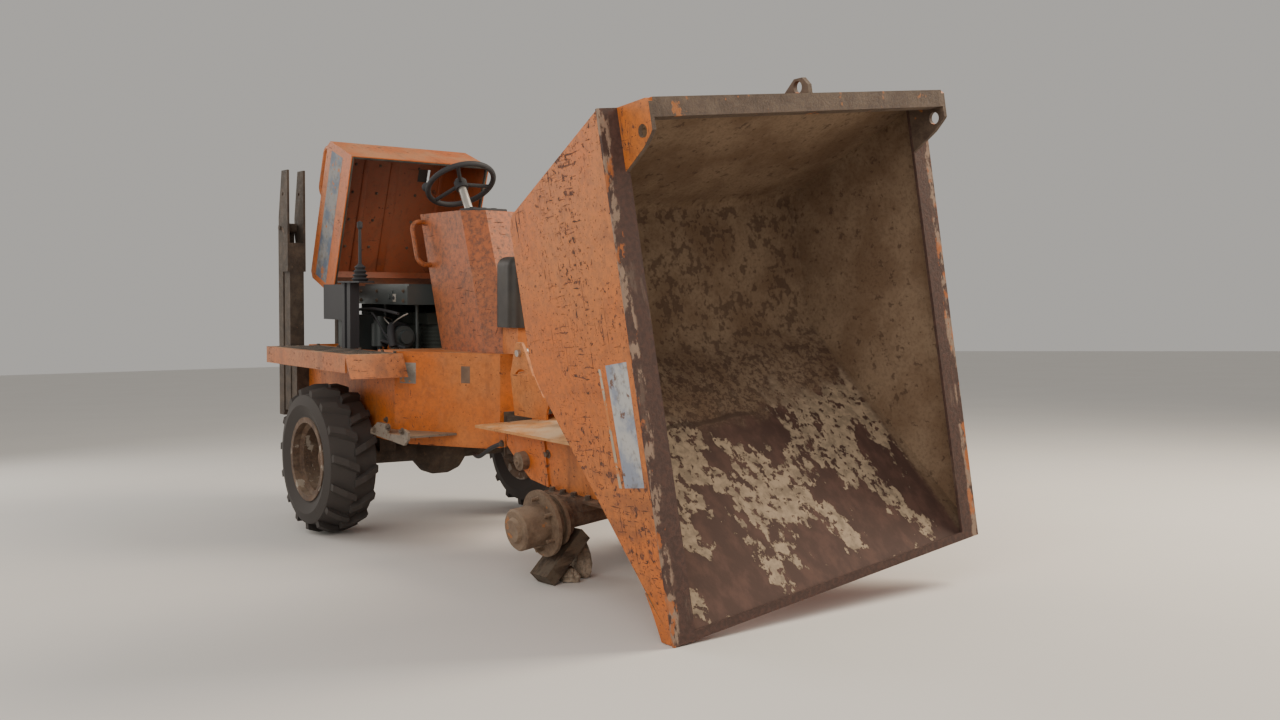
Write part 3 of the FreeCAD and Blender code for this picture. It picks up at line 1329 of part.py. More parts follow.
def ram():
    barrel = rod("barrel_tube", "X", ("30", "0", "0"), "ram_radius", "ram_barrel - 30")
    eye = rod("barrel_eye", "Y", ("0", "-ram_eye_width / 2", "0"), "ram_eye_radius + 4", "ram_eye_width")
    pin_bore = rod("barrel_bore", "Y", ("0", "-ram_eye_width", "0"), "ram_pin_radius + 0.5",
                   "ram_eye_width * 2")
    rod_bore = rod("barrel_rod_bore", "X", ("80", "0", "0"), "rod_radius + 0.5", "ram_barrel")
    node(cut("barrel_cut_rod", cut("barrel_cut_pin", fuse("barrel_fuse", [barrel, eye]), pin_bore),
             rod_bore), "ram_barrel", "barrel")


def ram_rod(length):
    """The ram's rod; length is the distance between the ram's pins with the skip tipped."""
    shaft = Part.makeCylinder(size("rod_radius"), length - size("ram_barrel") + 30,
                              vector(size("ram_barrel") - 60, 0, 0), X_AXIS)
    width = size("ram_eye_width")
    end = Part.makeCylinder(size("ram_eye_radius"), width, vector(length, -width / 2, 0), Y_AXIS)
    half_pin = width / 2 + 1.5
    pin = Part.makeCylinder(size("ram_pin_radius"), half_pin * 2, vector(length, -half_pin, 0), Y_AXIS)
    node(shaped("rod_bar", shaft.fuse([end, pin])), "ram_rod", "rod")


# how the units stand

def turn(axis, degrees, centre=vector()):
    return FreeCAD.Placement(vector(), FreeCAD.Rotation(axis, degrees), centre)


def move(x, y, z):
    return FreeCAD.Placement(vector(x, y, z), FreeCAD.Rotation())


def settle(height, low, high):
    """The angle at which a height falls to nothing."""
    for _ in range(50):
        middle = (low + high) / 2
        if height(middle) > 0:
            low = middle
        else:
            high = middle
    return (low + high) / 2


def rear_unit(nose_down):
    return turn(Y_AXIS, nose_down, vector(0, 0, size("wheel_radius")))


def front_unit(nose_down):
    pivot = size("pivot_forward")
    roll = turn(X_AXIS, size("front_roll"), vector(0, 0, size("roll_height")))
    return rear_unit(nose_down) * move(pivot, 0, 0) * roll


def left_tyre_height(nose_down):
    """How high the front left tyre's crown stands off the ground."""
    radius = size("wheel_radius")
    crown = size("crown_radius")
    place = front_unit(nose_down)
    centre = place.multVec(vector(size("front_axle_forward"), size("track") / 2, radius))
    side = place.Rotation.multVec(Y_AXIS)
    level = math.sqrt(1 - side.z * side.z)
    return centre.z - (radius - crown) * level - crown


def skip_unit(nose_down, tipped):
    pin = move(size("skip_pivot_x"), 0, size("skip_pivot_z"))
    return front_unit(nose_down) * pin * turn(Y_AXIS, tipped)


NOSE_DOWN = settle(left_tyre_height, 0, 10)


def lip_height(tipped):
    """How high the lip's right corner stands off the ground."""
    place = skip_unit(NOSE_DOWN, tipped)
    lip = size("mouth_length") - size("rear_reach")
    corners = [vector(lip, -size("mouth_half"), size("mouth_height") - deep)
               for deep in (0, size("rim_thickness"))]
    return min(place.multVec(corner).z for corner in corners)


TIPPED = settle(lip_height, 60, 110)
base = vector(size("ram_base_x"), 0, size("ram_base_z"))
skip_in_front = move(size("skip_pivot_x"), 0, size("skip_pivot_z")) * turn(Y_AXIS, TIPPED)
ram_end = skip_in_front.multVec(vector(size("ram_eye_x"), 0, size("ram_eye_z")))
RAM_LENGTH = (ram_end - base).Length
RAM_ANGLE = math.degrees(math.atan2(ram_end.z - base.z, ram_end.x - base.x))

half_track = size("track") / 2
radius = size("wheel_radius")
REAR = rear_unit(NOSE_DOWN)
FRONT = front_unit(NOSE_DOWN)
RAM = FRONT * move(base.x, 0, base.z) * turn(Y_AXIS, -RAM_ANGLE)
HOOP_PIN = move(size("hoop_x") - size("hoop_pin_back"), 0, size("hoop_pin_z"))
UNITS = {
    "rear": REAR,
    "front": FRONT,
    "skip": skip_unit(NOSE_DOWN, TIPPED),
    "cover": REAR * move(size("cover_hinge_x"), 0, size("cover_hinge_z")) * turn(Y_AXIS,
        -size("cover_open")),
    "hoop": REAR * HOOP_PIN * turn(Y_AXIS, 180),
    "barrel": RAM,
    "rod": RAM,
    "wheel_rear_right": REAR * move(0, -half_track, radius),
    "wheel_rear_left": REAR * move(0, half_track, radius),
    "wheel_front_left": FRONT * move(size("front_axle_forward"), half_track, radius),
    "hub": FRONT * move(size("front_axle_forward"), 0, radius),
    "articulation": REAR * move(size("pivot_forward"), 0, 0),
    "ground": FreeCAD.Placement(),
}

wheels()
bare_hub()
axle("rear_axle", "rear", "0", "chassis_bottom")
axle("front_axle", "front", "front_axle_forward", "mount_height")
rear_chassis()
fenders()
steps()
yoke()
engine()
engine_shroud()
ancillaries()
gear_lever()
console()
deck()
console_handle()
steering()
guard_tank()
hoop_posts()
hoop()
cover_bracket()
cover()
cover_hinges()
cover_handle()
seat()
pivot_head()
front_chassis()
axle_flanges()
chassis_top()
tower()
front_pins()
prop(Lean())
prop_stones(Lean())
skip()
skip_rim()
skip_rail()
skip_lugs()
ram()
ram_rod(RAM_LENGTH)
doc.recompute()

for item, unit in NODES:
    item.Placement = UNITS[unit] * item.Placement
doc.recompute()

# the part's origin: on the ground, under the middle of its box
whole = Part.makeCompound([item.Shape for item, unit in NODES]).optimalBoundingBox(False, False)
CENTRE = move(-(whole.XMin + whole.XMax) / 2, -(whole.YMin + whole.YMax) / 2, -whole.ZMin)
for item, unit in NODES:
    item.Placement = CENTRE * item.Placement
doc.recompute()

failed = [item.Name for item in doc.Objects if {"Invalid", "Error"} & set(item.State)]
if failed:
    raise RuntimeError("objects that failed: " + ", ".join(failed))
for item, unit in NODES:
    if item.Shape.isNull() or not item.Shape.isValid() or not item.Shape.Solids:
        raise RuntimeError("bad shape: " + item.Label)

os.makedirs("parts", exist_ok=True)
for item, unit in NODES:
    item.Shape.exportStep(f"parts/{item.Label}.step")
print("nose down", round(NOSE_DOWN, 4), "tipped", round(TIPPED, 4), "ram", round(RAM_LENGTH, 2),
      round(RAM_ANGLE, 3))
print("nodes", len(NODES), "shift", [round(value, 4) for value in CENTRE.Base])
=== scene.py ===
"""An articulated site dumper of about two tonnes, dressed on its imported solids.

It stands with its skip tipped, its engine cover raised, its roll hoop folded and its front right
wheel missing, the bare hub propped on a timber and two stones. Every length is in metres, and each
unit of the machine is dressed in its own level frame: X forward, Y left, Z up.
"""
import json
import logging
import math
from collections.abc import Callable
from dataclasses import dataclass
from enum import Enum

import bmesh
import bpy
from mathutils import Matrix, Vector, noise


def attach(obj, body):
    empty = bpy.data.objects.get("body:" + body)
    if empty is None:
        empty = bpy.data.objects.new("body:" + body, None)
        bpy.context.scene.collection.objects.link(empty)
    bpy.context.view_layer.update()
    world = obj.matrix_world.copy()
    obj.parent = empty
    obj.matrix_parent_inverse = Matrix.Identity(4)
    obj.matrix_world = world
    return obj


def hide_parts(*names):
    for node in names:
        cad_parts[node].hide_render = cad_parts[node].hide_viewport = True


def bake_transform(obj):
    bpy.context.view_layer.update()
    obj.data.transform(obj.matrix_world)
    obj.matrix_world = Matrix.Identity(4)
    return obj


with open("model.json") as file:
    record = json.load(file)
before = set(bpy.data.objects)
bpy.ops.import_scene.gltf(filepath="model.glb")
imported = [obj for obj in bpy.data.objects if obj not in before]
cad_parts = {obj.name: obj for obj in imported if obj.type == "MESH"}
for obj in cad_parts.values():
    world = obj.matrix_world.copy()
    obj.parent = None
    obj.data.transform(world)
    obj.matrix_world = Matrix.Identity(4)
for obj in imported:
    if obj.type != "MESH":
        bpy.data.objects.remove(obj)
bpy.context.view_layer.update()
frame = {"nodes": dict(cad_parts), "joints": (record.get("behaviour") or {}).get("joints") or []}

LOG = logging.getLogger("site_dumper")
Colour = tuple[float, float, float]
Place = tuple[float, float, float]
STICKER_THICK = 0.0006


class Unit(Enum):
    """The units that carry the pieces, each with a frame of its own."""

    ROW = "row"
    REAR = "rear"
    FRONT = "front"
    SKIP = "skip"
    COVER = "cover"
    HOOP = "hoop"
    WHEEL_REAR_RIGHT = "wheel_rear_right"
    WHEEL_REAR_LEFT = "wheel_rear_left"
    WHEEL_FRONT_LEFT = "wheel_front_left"


@dataclass(frozen=True)
class Stance:
    """How the machine stands, in degrees, and where its pivot lies in the rear unit."""

    nose_down: float = 2.4495
    front_roll: float = 7.0
    skip_tipped: float = 85.0612
    cover_open: float = 70.0
    hoop_folded: float = 180.0
    pivot_forward: float = 1.0
    roll_height: float = 0.56

    def joint(self, name: str) -> Matrix:
        """A move to a joint's place at rest.

        Args:
            name: The joint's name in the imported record.

        Returns:
            The translation to that joint.
        """
        found = next(item for item in frame["joints"] if item["name"] == name)
        return Matrix.Translation(Vector(found["pos_m"]))

    def turned(self, degrees: float, axis: str = "Y") -> Matrix:
        """A turn about one axis."""
        return Matrix.Rotation(math.radians(degrees), 4, axis)

    def frame_of(self, unit: Unit) -> Matrix:
        """The frame of one unit, from the joints and the machine's tilts.

        Args:
            unit: The unit to find.

        Returns:
            The matrix from that unit's own places to the row's.
        """
        level = self.turned(self.nose_down)
        rolled = level @ self.turned(self.front_roll, "X")
        pivot = self.joint("steering")
        frames = {
            Unit.ROW: Matrix.Identity(4),
            Unit.REAR: pivot @ level @ Matrix.Translation((-self.pivot_forward, 0, -self.roll_height)),
            Unit.FRONT: pivot @ rolled @ Matrix.Translation((0, 0, -self.roll_height)),
            Unit.SKIP: self.joint("skip_tip") @ rolled @ self.turned(self.skip_tipped),
            Unit.COVER: self.joint("cover_hinge") @ level @ self.turned(-self.cover_open),
            Unit.HOOP: self.joint("roll_hoop_fold") @ level @ self.turned(self.hoop_folded),
            Unit.WHEEL_REAR_RIGHT: self.joint("rear_right_wheel") @ level,
            Unit.WHEEL_REAR_LEFT: self.joint("rear_left_wheel") @ level,
            Unit.WHEEL_FRONT_LEFT: self.joint("front_left_wheel") @ rolled,
        }
        return frames[unit]


STANCE = Stance()


class Graph:
    """Adds shader nodes to one material, whose patterns lie in one unit's frame."""

    def __init__(self, name: str, unit: Unit) -> None:
        """Start a material.

        Args:
            name: The material's name.
            unit: The unit whose frame the patterns follow.
        """
        self.material = bpy.data.materials.new(name)
        self.material.use_nodes = True
        self.tree = self.material.node_tree
        self.shader = self.tree.nodes["Principled BSDF"]
        row_place = self.add("ShaderNodeTexCoord").outputs["Object"]
        unit_frame = STANCE.frame_of(unit)
        mapping = self.add("ShaderNodeMapping", vector_type="TEXTURE")
        mapping.inputs["Location"].default_value = unit_frame.to_translation()
        mapping.inputs["Rotation"].default_value = unit_frame.to_euler()
        self.feed(mapping.inputs["Vector"], row_place)
        self.place = mapping.outputs["Vector"]

    def add(self, kind: str, **settings: object) -> bpy.types.Node:
        """A new node of a kind, with its settings.

        Args:
            kind: The node's kind.
            **settings: The node's own settings.

        Returns:
            The node.
        """
        node = self.tree.nodes.new(kind)
        for key, value in settings.items():
            setattr(node, key, value)
        return node

    def feed(self, socket: bpy.types.NodeSocket, value: object) -> None:
        """Link an output to a socket, or set the socket's own value.

        Args:
            socket: The input socket.
            value: An output socket, a colour or a number.
        """
        if isinstance(value, bpy.types.NodeSocket):
            self.tree.links.new(value, socket)
        elif socket.type == "RGBA":
            socket.default_value = (*value, 1.0)
        else:
            socket.default_value = value

    def noise(self, scale: float, detail: float = 4.0, rough: float = 0.55,
              stretch: Place = (1, 1, 1)) -> bpy.types.NodeSocket:
        """Fractal noise over the unit's own place.

        Args:
            scale: Features to the metre.
            detail: Octaves.
            rough: How strong the small octaves are.
            stretch: How the place is scaled along each axis first.

        Returns:
            The noise, about 0.25 to 0.75.
        """
        place = self.place
        if stretch != (1, 1, 1):
            mapping = self.add("ShaderNodeMapping")
            mapping.inputs["Scale"].default_value = stretch
            self.feed(mapping.inputs["Vector"], place)
            place = mapping.outputs["Vector"]
        texture = self.add("ShaderNodeTexNoise")
        self.feed(texture.inputs["Vector"], place)
        texture.inputs["Scale"].default_value = scale
        texture.inputs["Detail"].default_value = detail
        texture.inputs["Roughness"].default_value = rough
        return texture.outputs[0]

    def step(self, value: object, low: float, high: float) -> bpy.types.NodeSocket:
        """A smooth step from 0 at low to 1 at high.

        Args:
            value: What is stepped.
            low: Where the step starts.
            high: Where it ends.

        Returns:
            The share, 0 to 1.
        """
        node = self.add("ShaderNodeMapRange", interpolation_type="SMOOTHSTEP")
        self.feed(node.inputs["Value"], value)
        node.inputs["From Min"].default_value = low
        node.inputs["From Max"].default_value = high
        return node.outputs["Result"]

    def maths(self, operation: str, first: object, second: object = 0.0) -> bpy.types.NodeSocket:
        """One sum on two numbers.

        Args:
            operation: The sum's kind.
            first: The first number.
            second: The second number, if the sum has one.

        Returns:
            The result.
        """
        node = self.add("ShaderNodeMath", operation=operation)
        self.feed(node.inputs[0], first)
        self.feed(node.inputs[1], second)
        return node.outputs[0]

    def times(self, first: object, second: object) -> bpy.types.NodeSocket:
        """The product of two numbers."""
        return self.maths("MULTIPLY", first, second)

    def plus(self, first: object, second: object) -> bpy.types.NodeSocket:
        """The sum of two numbers."""
        return self.maths("ADD", first, second)

    def less(self, first: object, second: object) -> bpy.types.NodeSocket:
        """The first number less the second."""
        return self.maths("SUBTRACT", first, second)

    def most(self, first: object, second: object) -> bpy.types.NodeSocket:
        """The greater of two numbers."""
        return self.maths("MAXIMUM", first, second)

    def clouds(self, low: float, high: float, *pattern: object) -> bpy.types.NodeSocket:
        """Noise, with noise()'s own values, stepped from 0 at low to 1 at high."""
        return self.step(self.noise(*pattern), low, high)

    def blend(self, share: object, first: object, second: object) -> bpy.types.NodeSocket:
        """A colour between two, by a share.

        Args:
            share: How much of the second colour.
            first: The first colour.
            second: The second colour.

        Returns:
            The colour.
        """
        node = self.add("ShaderNodeMix", data_type="RGBA")
        self.feed(node.inputs[0], share)
        self.feed(node.inputs[6], first)
        self.feed(node.inputs[7], second)
        return node.outputs[2]

    def axes(self, value: object = None) -> tuple[bpy.types.NodeSocket, ...]:
        """The three numbers of a vector, the unit's own place unless another is given.

        Args:
            value: The vector.

        Returns:
            Its X, Y and Z.
        """
        node = self.add("ShaderNodeSeparateXYZ")
        self.feed(node.inputs[0], value or self.place)
        return tuple(node.outputs)

    def upward(self) -> bpy.types.NodeSocket:
        """How far the surface faces the sky in the row's frame."""
        return self.axes(self.add("ShaderNodeNewGeometry").outputs["Normal"])[2]

    def finish(self, colour: object, rough: object, height: object = None, relief: float = 0.001,
               metallic: float = 0.0) -> bpy.types.Material:
        """Join the graph to the shader.

        Args:
            colour: The base colour.
            rough: The roughness.
            height: The bump's height, 0 to 1, if any.
            relief: How high the bump stands.
            metallic: The shader's metallic value.

        Returns:
            The finished material.
        """
        self.feed(self.shader.inputs["Base Color"], colour)
        self.feed(self.shader.inputs["Roughness"], rough)
        self.shader.inputs["Metallic"].default_value = metallic
        if height is not None:
            bump = self.add("ShaderNodeBump")
            bump.inputs["Strength"].default_value = 0.8
            bump.inputs["Distance"].default_value = relief
            self.feed(bump.inputs["Height"], height)
            self.feed(self.shader.inputs["Normal"], bump.outputs["Normal"])
        return self.material


@dataclass(frozen=True)
class Finish:
    """What every finish has: its name and the unit whose frame its pattern follows."""

    name: str
    unit: Unit = Unit.ROW

    def material(self) -> bpy.types.Material:
        """The finish's material, made once."""
        return bpy.data.materials.get(self.name) or self.paint()

    def paint(self) -> bpy.types.Material:
        """Make the material."""
        raise NotImplementedError


@dataclass(frozen=True)
class WornPaint(Finish):
    """Sprayed paint that has faded, chipped to rust, been scratched and gathered dust."""

    colour: Colour = (0.60, 0.145, 0.014)
    faded: Colour = (0.55, 0.185, 0.045)
    rust: Colour = (0.075, 0.030, 0.018)
    dust: Colour = (0.40, 0.27, 0.16)
    soil: Colour = (0.20, 0.075, 0.032)
    chips: float = 0.5
    scratches: float = 0.5
    dusty: float = 0.5
    grime: float = 0.35

    def aged(self, graph: Graph) -> bpy.types.NodeSocket:
        """The paint's own colour: faded in clouds, dulled in a fine mottle and run with rust.

        Args:
            graph: The material's graph.

        Returns:
            The colour before chips and dust.
        """
        tone = graph.times(graph.clouds(0.38, 0.66, 2.1, 3.0), 0.8)
        colour = graph.blend(tone, self.colour, self.faded)
        dull = tuple(part * 0.5 for part in self.colour)
        mottle = graph.times(graph.clouds(0.48, 0.72, 23, 6, 0.66), 0.45)
        colour = graph.blend(mottle, colour, dull)
        soil = graph.times(graph.clouds(0.40, 0.64, 42, 9, 0.74), self.grime)
        colour = graph.blend(soil, colour, self.soil)
        streak = graph.times(graph.clouds(0.55, 0.7, 7.5, 6, 0.62, (1, 1, 0.16)), 0.42)
        return graph.blend(streak, colour, self.rust)

    def worn_through(self, graph: Graph) -> bpy.types.NodeSocket:
        """Where chips and scratches lay the steel bare.

        Args:
            graph: The material's graph.

        Returns:
            The share that is bare, 0 to 1.
        """
        area = graph.times(graph.noise(3.1, 3), 0.32)
        flakes = graph.plus(area, graph.times(graph.noise(44, 7, 0.62), 0.68))
        limit = 0.632 - 0.055 * self.chips
        chip = graph.step(flakes, limit, limit + 0.014)
        limit = 0.695 - 0.045 * self.scratches
        dots = graph.clouds(limit, limit + 0.02, 105, 3, 0.5)
        slant = graph.noise(9.5, 4, 0.5, (1.0, 1.0, 11.0))
        across = graph.noise(10.5, 4, 0.5, (12.0, 1.0, 1.5))
        limit = 0.695 - 0.06 * self.scratches
        scratch = graph.most(graph.step(slant, limit, limit + 0.015),
                             graph.step(across, limit, limit + 0.015))
        scratch = graph.times(scratch, graph.clouds(0.42, 0.54, 3.3, 2))
        return graph.most(graph.most(chip, dots), scratch)

    def paint(self) -> bpy.types.Material:
        """Make the material.

        Returns:
            The material.
        """
        graph = Graph(self.name, self.unit)
        colour = self.aged(graph)
        bare = self.worn_through(graph)
        light_rust = tuple(min(1.0, part * 2.4) for part in self.rust)
        rust = graph.blend(graph.clouds(0.4, 0.62, 70, 5, 0.6), self.rust, light_rust)
        colour = graph.blend(bare, colour, rust)
        lying = graph.step(graph.upward(), 0.35, 0.95)
        film = graph.clouds(0.36, 0.62, 5.2, 6, 0.62)
        share = graph.times(graph.times(lying, film), self.dusty)
        haze = graph.times(graph.clouds(0.47, 0.74, 11, 5, 0.6), 0.2 * self.dusty)
        share = graph.most(share, haze)
        colour = graph.blend(share, colour, self.dust)
        rough = graph.plus(graph.times(graph.most(bare, share), 0.32), 0.52)
        height = graph.less(graph.times(graph.noise(160, 3), 0.12), graph.times(bare, 0.4))
        return graph.finish(colour, rough, height, 0.0016)


@dataclass(frozen=True)
class RustSteel(Finish):
    """Bare steel under a coat of rust, with traces of what once covered it."""

    dark: Colour = (0.050, 0.024, 0.016)
    bright: Colour = (0.165, 0.075, 0.038)
    trace: Colour = (0.42, 0.15, 0.04)
    traces: float = 0.2
    dusty: float = 0.4

    def paint(self) -> bpy.types.Material:
        """Make the material.

        Returns:
            The material.
        """
        graph = Graph(self.name, self.unit)
        coarse = graph.clouds(0.38, 0.62, 7, 7, 0.65)
        fine = graph.clouds(0.35, 0.65, 85, 8, 0.7)
        colour = graph.blend(graph.times(graph.plus(coarse, fine), 0.5), self.dark, self.bright)
        limit = 0.66 - 0.16 * self.traces
        left = graph.clouds(limit, limit + 0.03, 13, 9, 0.62)
        colour = graph.blend(left, colour, self.trace)
        lying = graph.step(graph.upward(), 0.2, 0.95)
        share = graph.times(graph.times(lying, graph.clouds(0.35, 0.6, 9, 5)), self.dusty)
        haze = graph.times(graph.clouds(0.42, 0.7, 19, 6, 0.6), 0.5 * self.dusty)
        colour = graph.blend(graph.most(share, haze), colour, (0.36, 0.27, 0.19))
        return graph.finish(colour, graph.plus(graph.times(fine, 0.2), 0.68), fine, 0.0012)


@dataclass(frozen=True)
class SkipSteel(Finish):
    """The skip's inside: mottled rust at the back, bare dark steel and dried mortar towards the lip."""

    old_rust: Colour = (0.165, 0.102, 0.060)
    pale_rust: Colour = (0.245, 0.168, 0.108)
    spot: Colour = (0.058, 0.031, 0.020)
    worn: Colour = (0.062, 0.030, 0.022)
    mortar: Colour = (0.37, 0.275, 0.185)
    floor_rear: float = -0.788
    floor_front: float = -0.235
    seam: float = 0.045
    lip: float = 0.648
    side: float = 0.69

    def ground(self, graph: Graph, along: object, across: object) -> bpy.types.NodeSocket:
        """The old rust of the back, floor and sides, spotted most on the flat floor.

        Args:
            graph: The material's graph.
            along: The place along the skip, towards its lip.
            across: The place across the skip.

        Returns:
            The colour of the old rust.
        """
        cloud = graph.clouds(0.36, 0.64, 4.2, 8, 0.6)
        colour = graph.blend(cloud, self.old_rust, self.pale_rust)
        grain = graph.times(graph.clouds(0.44, 0.66, 75, 8, 0.72), 0.38)
        colour = graph.blend(grain, colour, self.spot)
        middle = graph.step(graph.maths("ABSOLUTE", across), self.side + 0.01, self.side - 0.02)
        flat = graph.times(graph.step(along, self.floor_rear - 0.03, self.floor_rear + 0.04), middle)
        blots = graph.clouds(0.525, 0.57, 24, 9, 0.62)
        few = graph.clouds(0.60, 0.63, 27, 9, 0.62)
        spots = graph.most(graph.times(blots, flat), few)
        colour = graph.blend(graph.times(spots, 0.62), colour, self.spot)
        slope = graph.times(graph.step(along, self.floor_front - 0.03, self.floor_front + 0.12), middle)
        speckle = graph.times(graph.clouds(0.5, 0.56, 58, 7, 0.7), graph.times(slope, 0.6))
        return graph.blend(speckle, colour, self.worn)

    def paint(self) -> bpy.types.Material:
        """Make the material.

        Returns:
            The material.
        """
        graph = Graph(self.name, self.unit)
        along, across, deep = graph.axes()
        colour = self.ground(graph, along, across)
        wander = graph.times(graph.less(graph.noise(5.5, 8, 0.62), 0.5), 0.45)
        past = graph.plus(along, wander)
        middle = graph.step(graph.maths("ABSOLUTE", across), self.side + 0.01, self.side - 0.03)
        low = graph.times(graph.step(past, self.seam - 0.07, self.seam + 0.05), middle)
        streaks = graph.clouds(0.4, 0.68, 18, 8, 0.6, (0.25, 1, 1))
        bare = graph.blend(streaks, self.worn, tuple(part * 1.6 for part in self.worn))
        colour = graph.blend(low, colour, bare)
        cakes = graph.times(graph.noise(5.2, 6, 0.56, (0.33, 1.0, 1.0)), 0.74)
        cakes = graph.plus(cakes, graph.times(graph.noise(30, 8, 0.62, (0.45, 1.0, 1.0)), 0.26))
        thinner = graph.times(graph.step(along, 0.24, 0.56), 0.075)
        cakes = graph.less(cakes, thinner)
        stuck = graph.times(graph.step(cakes, 0.474, 0.489), low)
        holes = graph.clouds(0.40, 0.45, 34, 7, 0.62)
        stuck = graph.times(stuck, holes)
        mortar = graph.blend(graph.clouds(0.38, 0.64, 26, 7, 0.62), self.mortar,
                             tuple(part * 0.6 for part in self.mortar))
        colour = graph.blend(stuck, colour, mortar)
        off = graph.maths("ABSOLUTE", graph.less(graph.plus(along, graph.times(wander, 0.16)), self.seam))
        weld = graph.times(graph.step(off, 0.012, 0.004), graph.step(across, 0.2, 0.0))
        colour = graph.blend(graph.times(graph.times(weld, middle), 0.8), colour, self.spot)
        height = graph.plus(graph.times(stuck, 0.8), graph.times(graph.noise(75, 6, 0.7), 0.3))
        height = graph.plus(height, weld)
        return graph.finish(colour, graph.less(0.92, graph.times(low, 0.12)), height, 0.003)


@dataclass(frozen=True)
class RimSteel(Finish):
    """The skip's flat rim: dark rust, with pale and orange flakes worn along its outer edge."""

    mouth_half: float = 0.758
    stripe: float = 0.030
    rust: Colour = (0.052, 0.026, 0.020)
    pale: Colour = (0.30, 0.205, 0.145)
    paint_left: Colour = (0.42, 0.12, 0.025)

    def paint(self) -> bpy.types.Material:
        """Make the material.

        Returns:
            The material.
        """
        graph = Graph(self.name, self.unit)
        across = graph.maths("ABSOLUTE", graph.axes()[1])
        ragged = graph.plus(across, graph.times(graph.less(graph.noise(13, 8, 0.66), 0.5), 0.05))
        edge = self.mouth_half - self.stripe
        outer = graph.step(ragged, edge - 0.006, edge + 0.006)
        speckle = graph.clouds(0.40, 0.62, 60, 8, 0.7)
        rust = graph.blend(speckle, self.rust, tuple(part * 1.7 for part in self.rust))
        flakes = graph.clouds(0.50, 0.55, 21, 9, 0.68, (0.45, 1, 1))
        pale = graph.blend(graph.times(flakes, 0.85), rust, self.pale)
        orange = graph.clouds(0.56, 0.60, 16, 8, 0.64, (0.5, 1, 1))
        pale = graph.blend(graph.times(orange, 0.8), pale, self.paint_left)
        colour = graph.blend(outer, rust, pale)
        rubbed = graph.clouds(0.60, 0.68, 17, 5, 0.6, (0.3, 1, 1))
        colour = graph.blend(graph.times(rubbed, 0.35), colour, (0.19, 0.135, 0.10))
        return graph.finish(colour, graph.plus(graph.times(speckle, 0.15), 0.72), speckle, 0.0012)


@dataclass(frozen=True)
class DustyDark(Finish):
    """A dark surface with dust and stains: rubber, oily iron, black sheet, vinyl or plastic."""

    colour: Colour = (0.016, 0.015, 0.013)
    stain: Colour = (0.045, 0.040, 0.032)
    dust: Colour = (0.20, 0.155, 0.11)
    dusty: float = 0.5
    rough: float = 0.7
    grain: float = 60.0
    relief: float = 0.0006

    def paint(self) -> bpy.types.Material:
        """Make the material.

        Returns:
            The material.
        """
        graph = Graph(self.name, self.unit)
        colour = graph.blend(graph.clouds(0.4, 0.65, 9, 6, 0.6), self.colour, self.stain)
        lying = graph.step(graph.upward(), 0.1, 0.9)
        film = graph.clouds(0.42, 0.66, 14, 7, 0.65)
        share = graph.times(graph.plus(graph.times(lying, 0.7), 0.3), film)
        colour = graph.blend(graph.times(share, self.dusty), colour, self.dust)
        grain = graph.noise(self.grain, 5, 0.6)
        rough = graph.plus(graph.times(share, 0.25), self.rough)
        return graph.finish(colour, rough, grain, self.relief)


@dataclass(frozen=True)
class WornMetal(Finish):
    """Steel rubbed bright, greased in places and specked with rust."""

    colour: Colour = (0.42, 0.39, 0.35)

    def paint(self) -> bpy.types.Material:
        """Make the material.

        Returns:
            The material.
        """
        graph = Graph(self.name, self.unit)
        colour = graph.blend(graph.clouds(0.4, 0.6, 20, 7, 0.6), self.colour, (0.20, 0.165, 0.13))
        specks = graph.clouds(0.58, 0.63, 55, 8, 0.66)
        colour = graph.blend(specks, colour, (0.12, 0.05, 0.025))
        return graph.finish(colour, graph.plus(graph.times(specks, 0.4), 0.36), specks, 0.0005, 0.7)


@dataclass(frozen=True)
class Timber(Finish):
    """A weathered, split and muddy baulk, its grain along the unit's Y."""

    def paint(self) -> bpy.types.Material:
        """Make the material.

        Returns:
            The material.
        """
        graph = Graph(self.name, self.unit)
        grain = graph.noise(60, 8, 0.66, (1.0, 0.09, 0.6))
        rings = graph.step(grain, 0.36, 0.64)
        colour = graph.blend(rings, (0.035, 0.022, 0.014), (0.115, 0.078, 0.05))
        mud = graph.clouds(0.47, 0.6, 12, 7, 0.62)
        colour = graph.blend(mud, colour, (0.10, 0.075, 0.052))
        splits = graph.clouds(0.66, 0.70, 34, 4, 0.5, (1.0, 0.05, 1.0))
        colour = graph.blend(splits, colour, (0.012, 0.009, 0.007))
        return graph.finish(colour, 0.9, graph.less(grain, splits), 0.003)


@dataclass(frozen=True)
class FieldStone(Finish):
    """Dusty sandstone with pits and lichen-grey patches."""

    def paint(self) -> bpy.types.Material:
        """Make the material.

        Returns:
            The material.
        """
        graph = Graph(self.name, self.unit)
        body = graph.blend(graph.clouds(0.36, 0.66, 16, 9, 0.62), (0.19, 0.145, 0.105), (0.36, 0.29, 0.22))
        pits = graph.clouds(0.54, 0.62, 75, 7, 0.68)
        colour = graph.blend(graph.times(pits, 0.6), body, (0.11, 0.085, 0.065))
        return graph.finish(colour, 0.92, graph.noise(38, 9, 0.7), 0.006)


